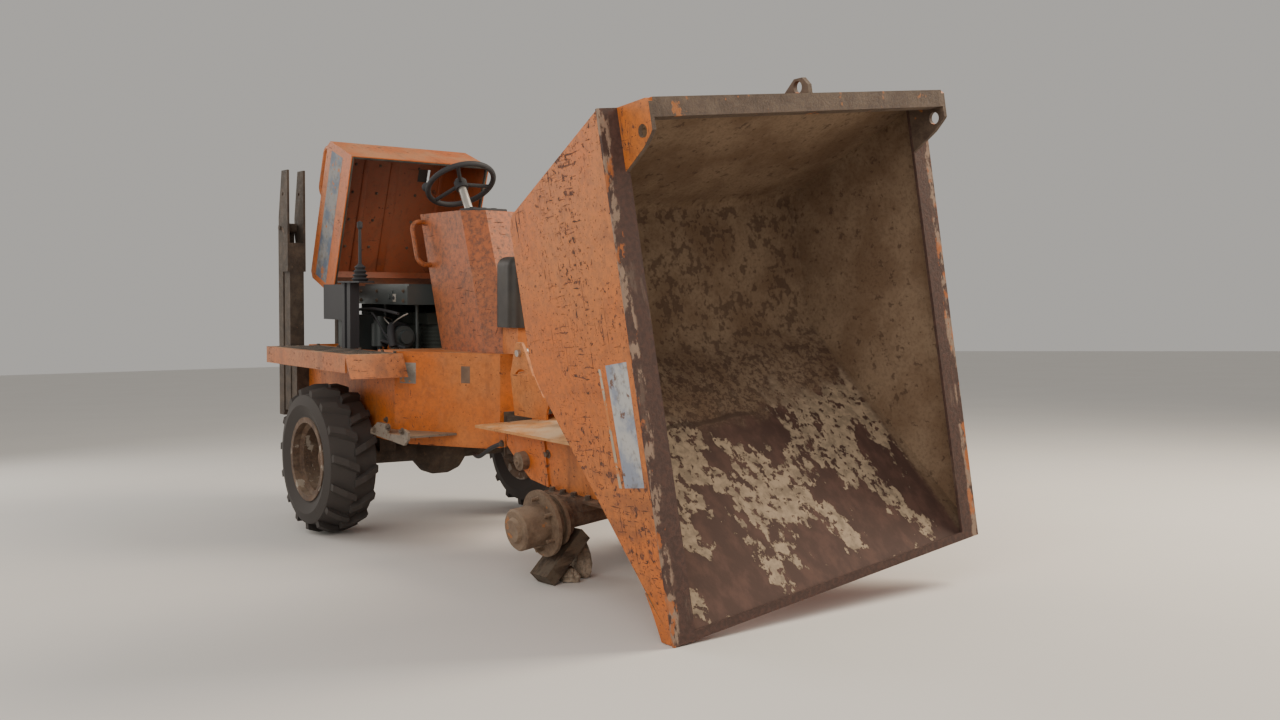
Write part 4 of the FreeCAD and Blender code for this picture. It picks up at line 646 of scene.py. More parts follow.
@dataclass(frozen=True)
class BlankSticker(Finish):
    """A sun-bleached sticker with nothing on it, peeled and scratched to the paint."""

    colour: Colour = (0.30, 0.36, 0.40)
    second: Colour = (0.42, 0.43, 0.42)
    under: Colour = (0.50, 0.17, 0.045)
    peeled: float = 0.3

    def paint(self) -> bpy.types.Material:
        """Make the material.

        Returns:
            The material.
        """
        graph = Graph(self.name, self.unit)
        colour = graph.blend(graph.clouds(0.42, 0.58, 9, 6, 0.6), self.colour, self.second)
        grime = graph.clouds(0.5, 0.68, 30, 8, 0.66)
        colour = graph.blend(graph.times(grime, 0.6), colour, (0.12, 0.085, 0.06))
        limit = 0.66 - 0.22 * self.peeled
        gone = graph.clouds(limit, limit + 0.02, 17, 9, 0.64)
        colour = graph.blend(gone, colour, self.under)
        return graph.finish(colour, 0.62, gone, 0.0004)


@dataclass(frozen=True)
class StudioFloor(Finish):
    """A plain pale floor with a faint cloudiness."""

    def paint(self) -> bpy.types.Material:
        """Make the material.

        Returns:
            The material.
        """
        graph = Graph(self.name, self.unit)
        colour = graph.blend(graph.noise(0.8, 3), (0.66, 0.64, 0.61), (0.72, 0.70, 0.67))
        return graph.finish(colour, 0.85)


REAR_ORANGE = WornPaint("orange_rear", Unit.REAR, chips=0.25, scratches=0.35, dusty=0.6)
CONSOLE_ORANGE = WornPaint("orange_console", Unit.REAR, colour=(0.44, 0.105, 0.020),
                           faded=(0.38, 0.115, 0.034), chips=0.1,
                           soil=(0.115, 0.045, 0.022), scratches=0.6, dusty=0.4, grime=0.85)
FENDER_ORANGE = WornPaint("orange_fender", Unit.REAR, colour=(0.50, 0.14, 0.028), faded=(0.42, 0.17, 0.065),
                          chips=0.8,
                          scratches=0.6, dusty=0.9, grime=0.5)
FRONT_ORANGE = WornPaint("orange_front", Unit.FRONT, colour=(0.60, 0.14, 0.014), chips=0.5, scratches=0.5,
                         dusty=0.7)
TOWER_ORANGE = WornPaint("orange_tower", Unit.FRONT, colour=(0.60, 0.175, 0.028), faded=(0.58, 0.25, 0.085),
                         chips=0.3,
                         scratches=0.4, dusty=0.85)
TOP_ORANGE = WornPaint("orange_top_plate", Unit.FRONT, colour=(0.58, 0.24, 0.07), faded=(0.60, 0.34, 0.15),
                       chips=0.25,
                       dust=(0.58, 0.41, 0.25), scratches=0.4, dusty=1.0, grime=0.2)
SKIP_ORANGE = WornPaint("orange_skip", Unit.SKIP, colour=(0.57, 0.14, 0.013), faded=(0.52, 0.165, 0.033),
                        chips=1.0,
                        scratches=1.0, dusty=0.15, grime=0.5)
COVER_ORANGE = WornPaint("orange_cover", Unit.COVER, colour=(0.54, 0.125, 0.016), faded=(0.48, 0.15, 0.04),
                         chips=0.3,
                         scratches=0.3, dusty=0.45)
# A darker copy of the cover's orange, with less and darker dust: painted shade on the cover's inner faces and
# ribs.
COVER_INSIDE_SHADED = WornPaint("cover_inside_shaded", Unit.COVER, colour=(0.30, 0.068, 0.022), faded=(0.24, 0.062, 0.026),
                         dust=(0.16, 0.09, 0.06), chips=0.0, scratches=0.0, dusty=0.3, grime=0.5)
# Near-black copy of the cover's paint for its rear wall: painted shade, where that wall lies in shadow.
COVER_PAINTED_SHADE = WornPaint("cover_painted_shade", Unit.COVER, colour=(0.09, 0.030, 0.016), faded=(0.055, 0.024, 0.016),
                       dust=(0.06, 0.045, 0.035), chips=0.3, scratches=0.2, dusty=0.4, grime=0.7)
GREY_STEP = WornPaint("grey_step", Unit.REAR, colour=(0.175, 0.145, 0.115), faded=(0.24, 0.195, 0.15),
                      soil=(0.08, 0.055, 0.04),
                      chips=0.4, scratches=0.5, dusty=0.6)
FRAME_RUST = RustSteel("frame_rust", Unit.REAR, dark=(0.036, 0.026, 0.020), bright=(0.085, 0.06, 0.042),
                       traces=0.1,
                       trace=(0.15, 0.09, 0.055), dusty=0.25)
AXLE_RUST = RustSteel("axle_rust", Unit.FRONT, dark=(0.045, 0.022, 0.014), bright=(0.13, 0.062, 0.032),
                      traces=0.1, dusty=0.4)
HUB_RUST = RustSteel("hub_rust", Unit.FRONT, dark=(0.10, 0.062, 0.04), bright=(0.23, 0.155, 0.10),
                     traces=0.15,
                     trace=(0.36, 0.14, 0.04), dusty=0.5)
RAIL_RUST = RustSteel("rail_rust", Unit.SKIP, dark=(0.058, 0.036, 0.026), bright=(0.135, 0.092, 0.064),
                      traces=0.3,
                      trace=(0.34, 0.12, 0.035), dusty=0.25)
WHEEL_RUST = RustSteel("wheel_rust", Unit.ROW, dark=(0.055, 0.032, 0.022), bright=(0.17, 0.10, 0.062),
                       traces=0.5,
                       trace=(0.33, 0.28, 0.225), dusty=0.5)
SKIP_INSIDE = SkipSteel("skip_inside", Unit.SKIP)
SKIP_RIM = RimSteel("skip_rim_steel", Unit.SKIP)
TYRE = DustyDark("tyre_rubber", Unit.ROW, dusty=0.75, rough=0.78, grain=120)
ENGINE_IRON = DustyDark("engine_iron", Unit.REAR, colour=(0.012, 0.015, 0.012), stain=(0.032, 0.034, 0.028),
                        dusty=0.4, rough=0.6)
ENGINE_SHEET = DustyDark("engine_sheet", Unit.REAR, colour=(0.013, 0.014, 0.014), stain=(0.035, 0.033, 0.029),
                         dusty=0.45,
                         rough=0.68)
BLACK_PLASTIC = DustyDark("black_plastic", Unit.REAR, colour=(0.012, 0.011, 0.010),
                          stain=(0.025, 0.022, 0.019),
                          dust=(0.11, 0.085, 0.06), dusty=0.35, rough=0.55, relief=0.0002)
TANK_PLASTIC = DustyDark("tank_plastic", Unit.REAR, colour=(0.022, 0.018, 0.015), stain=(0.034, 0.028, 0.023),
                         dust=(0.11, 0.085, 0.06), dusty=0.3, rough=0.5, relief=0.0002)
BLACK_VINYL = DustyDark("black_vinyl", Unit.COVER, dust=(0.12, 0.10, 0.08), dusty=0.35, rough=0.5, grain=420,
                        relief=0.0005)
PLATE_GREY = DustyDark("plate_grey", Unit.REAR, colour=(0.32, 0.30, 0.27), stain=(0.20, 0.18, 0.15),
                       dusty=0.4, rough=0.6)
GRIT_STRIP = DustyDark("grit_strip", Unit.REAR, colour=(0.03, 0.026, 0.022), stain=(0.08, 0.062, 0.048),
                       dusty=0.8, rough=0.85,
                       grain=600, relief=0.0008)
RUBBER_SEAL = DustyDark("rubber_seal", Unit.COVER, dusty=0.5)
BRIGHT_STEEL = WornMetal("bright_steel", Unit.ROW)
BOLT_STEEL = RustSteel("bolt_steel", Unit.ROW, dark=(0.04, 0.026, 0.02), bright=(0.13, 0.095, 0.07),
                       traces=0.1,
                       trace=(0.2, 0.17, 0.14))
BALK = Timber("timber_grain", Unit.FRONT)
STONE = FieldStone("field_stone")
PALE_STICKER = BlankSticker("pale_sticker", Unit.SKIP, colour=(0.24, 0.265, 0.33), second=(0.43, 0.42, 0.41),
                            peeled=0.2,
                            under=(0.16, 0.09, 0.07))
STRIPE_STICKER = BlankSticker("stripe_sticker", Unit.SKIP, colour=(0.44, 0.36, 0.27),
                              second=(0.36, 0.28, 0.20), peeled=0.8)
COVER_STICKER = BlankSticker("cover_sticker", Unit.COVER, colour=(0.10, 0.135, 0.19),
                             second=(0.24, 0.235, 0.23), peeled=0.3,
                             under=(0.42, 0.14, 0.035))
GREY_STICKER = BlankSticker("grey_sticker", Unit.REAR, colour=(0.30, 0.27, 0.23), second=(0.20, 0.18, 0.155),
                            peeled=0.15)
BROWN_STICKER = BlankSticker("brown_sticker", Unit.REAR, colour=(0.20, 0.12, 0.075),
                             second=(0.14, 0.085, 0.055), peeled=0.15)
AMBER_LENS = DustyDark("amber_lens", Unit.COVER, colour=(0.62, 0.17, 0.015), stain=(0.50, 0.13, 0.015),
                       dust=(0.5, 0.3, 0.15),
                       dusty=0.3, rough=0.25, relief=0.0002)
BELT_RED = DustyDark("belt_red", Unit.COVER, colour=(0.30, 0.03, 0.02), stain=(0.22, 0.03, 0.02), dusty=0.3,
                     rough=0.5)


def placed(name: str, data: bpy.types.ID) -> bpy.types.Object:
    """A new object of some data, linked to the scene.

    Args:
        name: The object's name.
        data: Its data.

    Returns:
        The object.
    """
    item = bpy.data.objects.new(name, data)
    bpy.context.scene.collection.objects.link(item)
    return item


def evaluated(item: bpy.types.Object) -> bpy.types.Mesh:
    """An object's shape with its modifiers, as a plain mesh."""
    depsgraph = bpy.context.evaluated_depsgraph_get()
    return bpy.data.meshes.new_from_object(item.evaluated_get(depsgraph), depsgraph=depsgraph)


def plain_mesh(name: str, form: bmesh.types.BMesh) -> bpy.types.Mesh:
    """Turn a form into a mesh, and let the form go.

    Args:
        name: The mesh's name.
        form: The form.

    Returns:
        The mesh.
    """
    mesh = bpy.data.meshes.new(name)
    form.to_mesh(mesh)
    form.free()
    return mesh


def shown(name: str, mesh: bpy.types.Mesh, finish: Finish, body: str | None,
          crease: float = 32.0) -> bpy.types.Object:
    """Show a finished mesh on a body.

    Args:
        name: The piece's name.
        mesh: Its mesh, in the row's frame.
        finish: What it is finished in.
        body: The body it rides on, or None where it lies across two and rides on neither.
        crease: Edges sharper than this many degrees stay sharp.

    Returns:
        The piece.
    """
    piece = placed(name, mesh)
    mesh.materials.clear()
    mesh.materials.append(finish.material())
    for polygon in mesh.polygons:
        polygon.use_smooth = True
        polygon.material_index = 0
    mesh.set_sharp_from_angle(angle=math.radians(crease))
    if body:
        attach(piece, body)
    LOG.info("%s on %s, %d faces", name, body or "two bodies", len(mesh.polygons))
    return piece


class Mould:
    """Collects plain solids in a unit's own frame and casts them as one piece."""

    def __init__(self, name: str, unit: Unit) -> None:
        """Start an empty mould.

        Args:
            name: The piece's name.
            unit: The unit whose frame its places are in.
        """
        self.name = name
        self.frame = STANCE.frame_of(unit)
        self.form = bmesh.new()

    def block(self, low: Place, high: Place, ease: float = 0.0) -> None:
        """A block between two corners, its edges eased.

        Args:
            low: The lowest corner.
            high: The highest corner.
            ease: The width of the eased edges.
        """
        made = bmesh.ops.create_cube(self.form, size=1.0)["verts"]
        for vert in made:
            vert.co = Vector([a + (part + 0.5) * (b - a) for a, b, part in zip(low, high, vert.co)])
        if ease:
            edges = list({edge for vert in made for edge in vert.link_edges})
            bmesh.ops.bevel(self.form, geom=edges, offset=ease, segments=2, affect="EDGES", profile=0.5)

    def rod(self, start: Place, end: Place, radius: float, tip: float | None = None, sides: int = 24) -> None:
        """A round bar or cone between two places.

        Args:
            start: The middle of its first end.
            end: The middle of its other end.
            radius: Its radius at the start.
            tip: Its radius at the end, if that differs.
            sides: How many sides it has.
        """
        first, last = Vector(start), Vector(end)
        way = last - first
        place = Matrix.Translation((first + last) / 2) @ way.to_track_quat("Z", "Y").to_matrix().to_4x4()
        bmesh.ops.create_cone(self.form, cap_ends=True, segments=sides, radius1=radius,
                              radius2=radius if tip is None else tip, depth=way.length, matrix=place)

    def ball(self, centre: Place, radius: float) -> None:
        """A ball."""
        bmesh.ops.create_uvsphere(self.form, u_segments=20, v_segments=12, radius=radius,
                                  matrix=Matrix.Translation(centre))

    def slab(self, corners: list[Place], depth: Place) -> None:
        """A flat outline given a depth.

        Args:
            corners: The outline.
            depth: The way to its other side.
        """
        near = [self.form.verts.new(corner) for corner in corners]
        far = [self.form.verts.new(Vector(corner) + Vector(depth)) for corner in corners]
        self.form.faces.new(near)
        self.form.faces.new(far[::-1])
        for index, vert in enumerate(near):
            ahead = (index + 1) % len(near)
            self.form.faces.new((vert, far[index], far[ahead], near[ahead]))

    def cast(self, finish: Finish, body: str, crease: float = 32.0) -> bpy.types.Object:
        """Make the piece.

        Args:
            finish: What it is finished in.
            body: The body it rides on.
            crease: Edges sharper than this many degrees stay sharp.

        Returns:
            The piece.
        """
        bmesh.ops.transform(self.form, matrix=self.frame, verts=self.form.verts)
        bmesh.ops.recalc_face_normals(self.form, faces=self.form.faces)
        return shown(self.name, plain_mesh(self.name, self.form), finish, body, crease)


def hose(name: str, unit: Unit, points: list[Place], radius: float, finish: Finish, body: str | None) -> bpy.types.Object:
    """A smooth hose or wire along points.

    Args:
        name: The piece's name.
        unit: The unit whose frame the points are in.
        points: The route.
        radius: The hose's radius.
        finish: What it is finished in.
        body: The body it rides on, or None where it lies across two and rides on neither.

    Returns:
        The piece.
    """
    curve = bpy.data.curves.new(name, "CURVE")
    curve.dimensions = "3D"
    line = curve.splines.new("NURBS")
    line.points.add(len(points) - 1)
    unit_frame = STANCE.frame_of(unit)
    for point, place in zip(line.points, points):
        point.co = (*(unit_frame @ Vector(place)), 1.0)
    line.order_u = 3
    line.use_endpoint_u = True
    curve.bevel_depth = radius
    curve.bevel_resolution = 4
    curve.use_fill_caps = True
    carrier = placed(name + "_line", curve)
    mesh = evaluated(carrier)
    bpy.data.objects.remove(carrier)
    return shown(name, mesh, finish, body, 60)


class PatternTree:
    """A Geometry Nodes tree with named inputs, run once on a carrier mesh."""

    def __init__(self, name: str, inputs: dict[str, str]) -> None:
        """Start a tree.

        Args:
            name: The tree's name.
            inputs: The socket kind of each named input.
        """
        self.tree = bpy.data.node_groups.new(name, "GeometryNodeTree")
        self.tree.interface.new_socket("Points", in_out="INPUT", socket_type="NodeSocketGeometry")
        for label, kind in inputs.items():
            self.tree.interface.new_socket(label, in_out="INPUT", socket_type=kind)
        self.tree.interface.new_socket("Pattern", in_out="OUTPUT", socket_type="NodeSocketGeometry")
        self.entry = self.tree.nodes.new("NodeGroupInput")
        self.exit = self.tree.nodes.new("NodeGroupOutput")

    def add(self, kind: str, links: dict[str, object], **settings: object) -> bpy.types.Node:
        """A node with its inputs linked or set.

        Args:
            kind: The node's kind.
            links: What each named input takes: an output socket or a value.
            **settings: The node's own settings.

        Returns:
            The node.
        """
        node = self.tree.nodes.new(kind)
        for key, value in settings.items():
            setattr(node, key, value)
        for label, value in links.items():
            socket = next(item for item in node.inputs if item.name == label and item.enabled)
            if isinstance(value, bpy.types.NodeSocket):
                self.tree.links.new(value, socket)
            else:
                socket.default_value = value
        return node

    def close(self, geometry: bpy.types.NodeSocket) -> None:
        """End the tree in real geometry of one finish.

        Args:
            geometry: The tree's last output.
        """
        real = self.add("GeometryNodeRealizeInstances", {"Geometry": geometry})
        dressed = self.add("GeometryNodeSetMaterial",
                           {"Geometry": real.outputs[0], "Material": self.entry.outputs["Finish"]})
        self.tree.links.new(dressed.outputs[0], self.exit.inputs[0])

    def grow(self, name: str, carrier: bpy.types.Mesh, values: dict[str, object]) -> bpy.types.Mesh:
        """Run the tree on a carrier.

        Args:
            name: The mesh's name.
            carrier: The mesh of points.
            values: The value of each named input.

        Returns:
            The pattern as a plain mesh.
        """
        holder = placed(name + "_points", carrier)
        modifier = holder.modifiers.new("pattern", "NODES")
        modifier.node_group = self.tree
        for item in self.tree.interface.items_tree:
            if item.in_out == "INPUT" and item.name in values:
                modifier[item.identifier] = values[item.name]
        mesh = evaluated(holder)
        holder.modifiers.remove(modifier)
        bpy.data.objects.remove(holder)
        mesh.name = name
        return mesh


class BoltTree(PatternTree):
    """Sets a hexagon head on its washer at each point, facing along the point's way."""

    HEAD_HEIGHT = 1.1
    HEAD_LIFT = 0.72
    WASHER_RADIUS = 1.55
    WASHER_THICK = 0.004

    def __init__(self) -> None:
        """Build the tree."""
        super().__init__("bolt_heads", {"Head radius": "NodeSocketFloat", "Head height": "NodeSocketFloat",
                                        "Washer radius": "NodeSocketFloat", "Finish": "NodeSocketMaterial"})
        radius, height, washer_radius = [self.entry.outputs[label] for label in ("Head radius", "Head height",
            "Washer radius")]
        head = self.add("GeometryNodeMeshCylinder", {"Vertices": 6, "Radius": radius, "Depth": height})
        half = self.add("ShaderNodeMath", {}, operation="MULTIPLY")
        self.tree.links.new(height, half.inputs[0])
        half.inputs[1].default_value = self.HEAD_LIFT
        lift = self.add("ShaderNodeCombineXYZ", {"Z": half.outputs[0]})
        raised = self.add("GeometryNodeTransform",
                          {"Geometry": head.outputs["Mesh"], "Translation": lift.outputs[0]})
        washer = self.add("GeometryNodeMeshCylinder",
                          {"Vertices": 20, "Radius": washer_radius, "Depth": self.WASHER_THICK})
        bolt = self.tree.nodes.new("GeometryNodeJoinGeometry")
        self.tree.links.new(raised.outputs[0], bolt.inputs[0])
        self.tree.links.new(washer.outputs["Mesh"], bolt.inputs[0])
        way = self.add("GeometryNodeInputNamedAttribute", {"Name": "way"}, data_type="FLOAT_VECTOR")
        aligned = self.add("FunctionNodeAlignRotationToVector", {"Vector": way.outputs["Attribute"]},
                           axis="Z")
        row = self.add("GeometryNodeInstanceOnPoints",
                       {"Points": self.entry.outputs["Points"], "Instance": bolt.outputs[0],
                                                       "Rotation": aligned.outputs[0]})
        self.close(row.outputs[0])

    def fit(self, name: str, unit: Unit, places: list[Place], way: Place, body: str, slot: str,
            radius: float = 0.011,
            finish: Finish = BOLT_STEEL) -> bpy.types.Object:
        """Fit bolts that all face one way.

        Args:
            name: The piece's name.
            unit: The unit whose frame the places are in.
            places: Where the bolts stand.
            way: The way that they face.
            body: The body they ride on.
            slot: Not used.
            radius: The heads' radius.
            finish: What they are finished in.

        Returns:
            The bolts as one piece.
        """
        unit_frame = STANCE.frame_of(unit)
        carrier = bpy.data.meshes.new(name + "_carrier")
        carrier.from_pydata([unit_frame @ Vector(place) for place in places], [], [])
        facing = carrier.attributes.new("way", "FLOAT_VECTOR", "POINT")
        turned = unit_frame.to_3x3() @ Vector(way)
        for item in facing.data:
            item.vector = turned
        mesh = self.grow(name, carrier, {
            "Head radius": radius, "Head height": radius * self.HEAD_HEIGHT,
            "Washer radius": radius * self.WASHER_RADIUS, "Finish": finish.material()})
        return shown(name, mesh, finish, body, 25)


class SlatTree(PatternTree):
    """Lays equal slats side by side from a start."""

    def __init__(self) -> None:
        """Build the tree."""
        super().__init__("slats", {"Count": "NodeSocketInt", "Start": "NodeSocketVector",
                                   "Pitch": "NodeSocketVector",
                                   "Size": "NodeSocketVector", "Finish": "NodeSocketMaterial"})
        entry = self.entry.outputs
        line = self.add("GeometryNodeMeshLine", {"Count": entry["Count"], "Start Location": entry["Start"],
                                                "Offset": entry["Pitch"]}, mode="OFFSET", count_mode="TOTAL")
        slat = self.add("GeometryNodeMeshCube", {"Size": entry["Size"]})
        row = self.add("GeometryNodeInstanceOnPoints",
                       {"Points": line.outputs[0], "Instance": slat.outputs["Mesh"]})
        self.close(row.outputs[0])

    def lay(self, name: str, unit: Unit, count: int, start: Place, pitch: Place, size: Place, finish: Finish,
            body: str,
            slot: str) -> bpy.types.Object:
        """Lay slats in a unit's frame.

        Args:
            name: The piece's name.
            unit: The unit whose frame the places are in.
            count: How many slats.
            start: The middle of the first.
            pitch: The way from one to the next.
            size: The size of each.
            finish: What they are finished in.
            body: The body they ride on.
            slot: Not used.

        Returns:
            The slats as one piece.
        """
        carrier = bpy.data.meshes.new(name + "_carrier")
        mesh = self.grow(name, carrier, {"Count": count, "Start": start, "Pitch": pitch, "Size": size,
                                         "Finish": finish.material()})
        mesh.transform(STANCE.frame_of(unit))
        return shown(name, mesh, finish, body)


def dress(finish: Finish, *nodes: str) -> None:
    """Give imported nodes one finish.

    Args:
        finish: The finish.
        *nodes: The nodes' names.
    """
    for name in nodes:
        mesh = frame["nodes"][name].data
        mesh.materials.clear()
        mesh.materials.append(finish.material())


def dress_faces(mesh: bpy.types.Mesh, unit: Unit, finishes: tuple[Finish, ...],
                choose: Callable[[Vector, Vector], int]) -> None:
    """Give each face of a mesh one of several finishes.

    Args:
        mesh: The mesh.
        unit: The unit whose frame the choice is made in.
        finishes: The finishes.
        choose: Takes a face's place and the way it faces, and gives the finish's number.
    """
    mesh.materials.clear()
    for finish in finishes:
        mesh.materials.append(finish.material())
    back = STANCE.frame_of(unit).inverted()
    turn = back.to_3x3()
    for polygon in mesh.polygons:
        polygon.material_index = choose(back @ polygon.center, turn @ polygon.normal)


def inwards(hollow: Place) -> Callable[[Vector, Vector], int]:
    """A choice of finish: 1 where a face looks towards the hollow, else 0."""
    return lambda place, facing: int(facing.dot(Vector(hollow) - place) > 0)


@dataclass
class SkipDress:
    """The skip: its sheet inside and out, its rim, rail, lugs and blank stickers."""

    wall: float = 0.757
    depth: float = 0.705
    mouth: float = 0.713
    slope: float = 0.0809
    ear_start: float = 0.66
    hollow: Place = (-0.25, 0, 0.5)
    sticker: tuple[Place, ...] = ((-0.249, 0, 0.536), (-0.258, 0, 0.668), (0.142, 0, 0.668),
                                  (0.151, 0, 0.549))
    stripe: tuple[Place, ...] = ((-0.238, 0, 0.488), (-0.238, 0, 0.502), (0.153, 0, 0.530), (0.153, 0, 0.512))

    def wall_side(self, high: float) -> float:
        """How far out the right wall's outer face stands at a height."""
        return self.wall - (self.mouth - high) * self.slope

    def on_wall(self, name: str, corners: tuple[Place, ...], finish: Finish) -> None:
        """A thin sticker on the right wall.

        Args:
            name: The sticker's name.
            corners: Its corners, of which the Y is left to the wall.
            finish: What it is finished in.
        """
        mould = Mould(name, Unit.SKIP)
        mould.slab([(x, -self.wall_side(z) - STICKER_THICK, z) for x, _, z in corners], (0, STICKER_THICK, 0))
        mould.cast(finish, "skip")

    def rail(self) -> None:
        """Rust on the raised back, paint on the outer faces of its ears."""
        def choose(place: Vector, facing: Vector) -> int:
            """1 on the ears' outer faces and the rail's back."""
            outer = abs(place.y) > self.ear_start and facing.y * place.y > 0.1
            return int(outer or facing.x < -0.7)

        dress_faces(frame["nodes"]["skip_rail"].data, Unit.SKIP, (RAIL_RUST, SKIP_ORANGE), choose)

    def build(self) -> None:
        """Dress the skip."""
        dress_faces(frame["nodes"]["skip_shell"].data, Unit.SKIP, (SKIP_ORANGE, SKIP_INSIDE),
                    inwards(self.hollow))
        self.rail()
        dress(SKIP_RIM, "skip_rim")
        dress(SKIP_ORANGE, "skip_lugs")
        self.on_wall("skip_pale_sticker", self.sticker, PALE_STICKER)
        self.on_wall("skip_stripe_sticker", self.stripe, STRIPE_STICKER)


@dataclass
class Wheels:
    """Tyres, rims, wheel nuts and valves."""

    nut_circle: float = 0.1025
    nut_count: int = 6
    disc: float = 0.0865
    valve_radius: float = 0.15

    def build(self, bolts: BoltTree) -> None:
        """Dress the wheels.

        Args:
            bolts: The tree that makes the nuts.
        """
        corners = ((Unit.WHEEL_REAR_RIGHT, "wheel_rear_right", -1),
                   (Unit.WHEEL_REAR_LEFT, "wheel_rear_left", 1),
                   (Unit.WHEEL_FRONT_LEFT, "wheel_front_left", 1))
        for unit, body, side in corners:
            corner = body.removeprefix("wheel_")
            dress(TYRE, "tyre_" + corner)
            dress(WHEEL_RUST, "rim_" + corner)
            places = []
            for index in range(self.nut_count):
                angle = 2 * math.pi * index / self.nut_count
                places.append((self.nut_circle * math.cos(angle), -side * self.disc,
                               self.nut_circle * math.sin(angle)))
            bolts.fit("nuts_" + corner, unit, places, (0, side, 0), body, "rim_paint", 0.014)
            valve = Mould("valve_" + corner, unit)
            foot = (self.valve_radius, -side * self.disc, 0.02)
            valve.rod(foot, (self.valve_radius, -side * (self.disc - 0.03), 0.02), 0.005)
            valve.cast(BLACK_PLASTIC, body)


@dataclass
class RearBody:
    """The rear unit: chassis, fenders, steps, console, controls and roll posts."""

    fender_top: float = 0.935
    fender_rear: float = -0.5
    fender_front: float = 0.54
    fender_inner: float = 0.47
    fender_outer: float = 0.76
    plate_side: float = 0.47
    taper_start: float = 0.45
    taper: float = 0.6224
    strip_count: int = 4
    strip_width: float = 0.042

    def side_at(self, forward: float) -> float:
        """How far out the side plate stands at a place along the machine."""
        return self.plate_side - max(0.0, forward - self.taper_start) * self.taper

    def sticker(self, name: str, rear: float, front: float, low: float, high: float, finish: Finish) -> None:
        """A thin blank sticker on the right side plate, along its taper.

        Args:
            name: The sticker's name.
            rear: Its rear edge.
            front: Its front edge.
            low: Its foot.
            high: Its top.
            finish: What it is finished in.
        """
        mould = Mould(name, Unit.REAR)
        corners = [(rear, low), (front, low), (front, high), (rear, high)]
        mould.slab([(x, -self.side_at(x) - STICKER_THICK, z) for x, z in corners], (0, STICKER_THICK, 0))
        mould.cast(finish, "rear_unit")

    def strips(self, slats: SlatTree) -> None:
        """The gritted strips on both fenders.

        Args:
            slats: The tree that makes strips.
        """
        middle = (self.fender_rear + self.fender_front) / 2
        length = self.fender_front - self.fender_rear - 0.09
        pitch = (self.fender_outer - self.fender_inner - 0.05) / self.strip_count
        for label, side in (("right", -1), ("left", 1)):
            start = (middle, side * (self.fender_inner + 0.05), self.fender_top + 0.001)
            slats.lay("grit_strips_" + label, Unit.REAR, self.strip_count, start, (0, side * pitch, 0),
                      (length, self.strip_width, 0.002), GRIT_STRIP, "rear_unit", "orange_paint")

    def bolts(self, bolts: BoltTree) -> None:
        """Bolts on the fenders, steps and side plates.

        Args:
            bolts: The tree that makes bolts.
        """
        for label, side in (("right", -1), ("left", 1)):
            row = [(x, side * (self.fender_inner + 0.022), self.fender_top) for x in (-0.45, -0.18, 0.10,
                0.36, 0.50)]
            bolts.fit("fender_bolts_" + label, Unit.REAR, row, (0, 0, 1), "rear_unit", "orange_paint", 0.008)
            face = side * 0.572
            row = [(0.44, face, 0.565), (0.60, face, 0.59), (0.745, face, 0.585)]
            bolts.fit("step_bolts_" + label, Unit.REAR, row, (0, side, 0), "rear_unit", "grey_steel", 0.011)
            row = [(x, side * self.side_at(x), z) for x,
                   z in ((-0.42, 0.88), (-0.42, 0.60), (0.36, 0.60), (0.40, 0.89))]
            bolts.fit("side_bolts_" + label, Unit.REAR, row, (0, side, 0), "rear_unit", "orange_paint", 0.010)

    def controls(self) -> None:
        """The wheel's boss and a cluster of three lights on the console's top."""
        boss = Mould("steering_boss", Unit.REAR)
        lean = math.radians(33)
        up = Vector((-math.sin(lean), 0, math.cos(lean)))
        hub = Vector((0.256, 0, 1.790))
        boss.rod(hub + up * 0.016, hub + up * 0.030, 0.030, 0.024)
        boss.cast(BLACK_PLASTIC, "rear_unit")
        cluster = Mould("dash_cluster", Unit.REAR)
        cluster.block((0.42, -0.10, 1.632), (0.56, 0.10, 1.652), 0.006)
        for across in (-0.06, 0.0, 0.06):
            cluster.rod((0.49, across, 1.652), (0.49, across, 1.658), 0.016)
        cluster.cast(BLACK_PLASTIC, "rear_unit")

    def build(self, bolts: BoltTree, slats: SlatTree) -> None:
        """Dress the rear unit.

        Args:
            bolts: The tree that makes bolts.
            slats: The tree that makes strips.
        """
        dress(REAR_ORANGE, "rear_chassis", "floor_plate")
        dress(FENDER_ORANGE, "fenders")
        dress(CONSOLE_ORANGE, "console", "console_handle")
        dress(GREY_STEP, "side_steps")
        dress(FRAME_RUST, "rear_yoke", "rear_axle", "roll_posts", "roll_hoop", "cover_hinge_posts",
              "cover_hinges")
        dress(BLACK_PLASTIC, "steering_wheel", "gear_lever")
        dress(TANK_PLASTIC, "moulded_tank")
        dress(BRIGHT_STEEL, "steering_column")
        self.strips(slats)
        self.bolts(bolts)
        self.controls()
        self.sticker("grey_side_sticker", 0.476, 0.552, 0.788, 0.889, GREY_STICKER)
        self.sticker("brown_side_sticker", 0.763, 0.804, 0.799, 0.880, BROWN_STICKER)


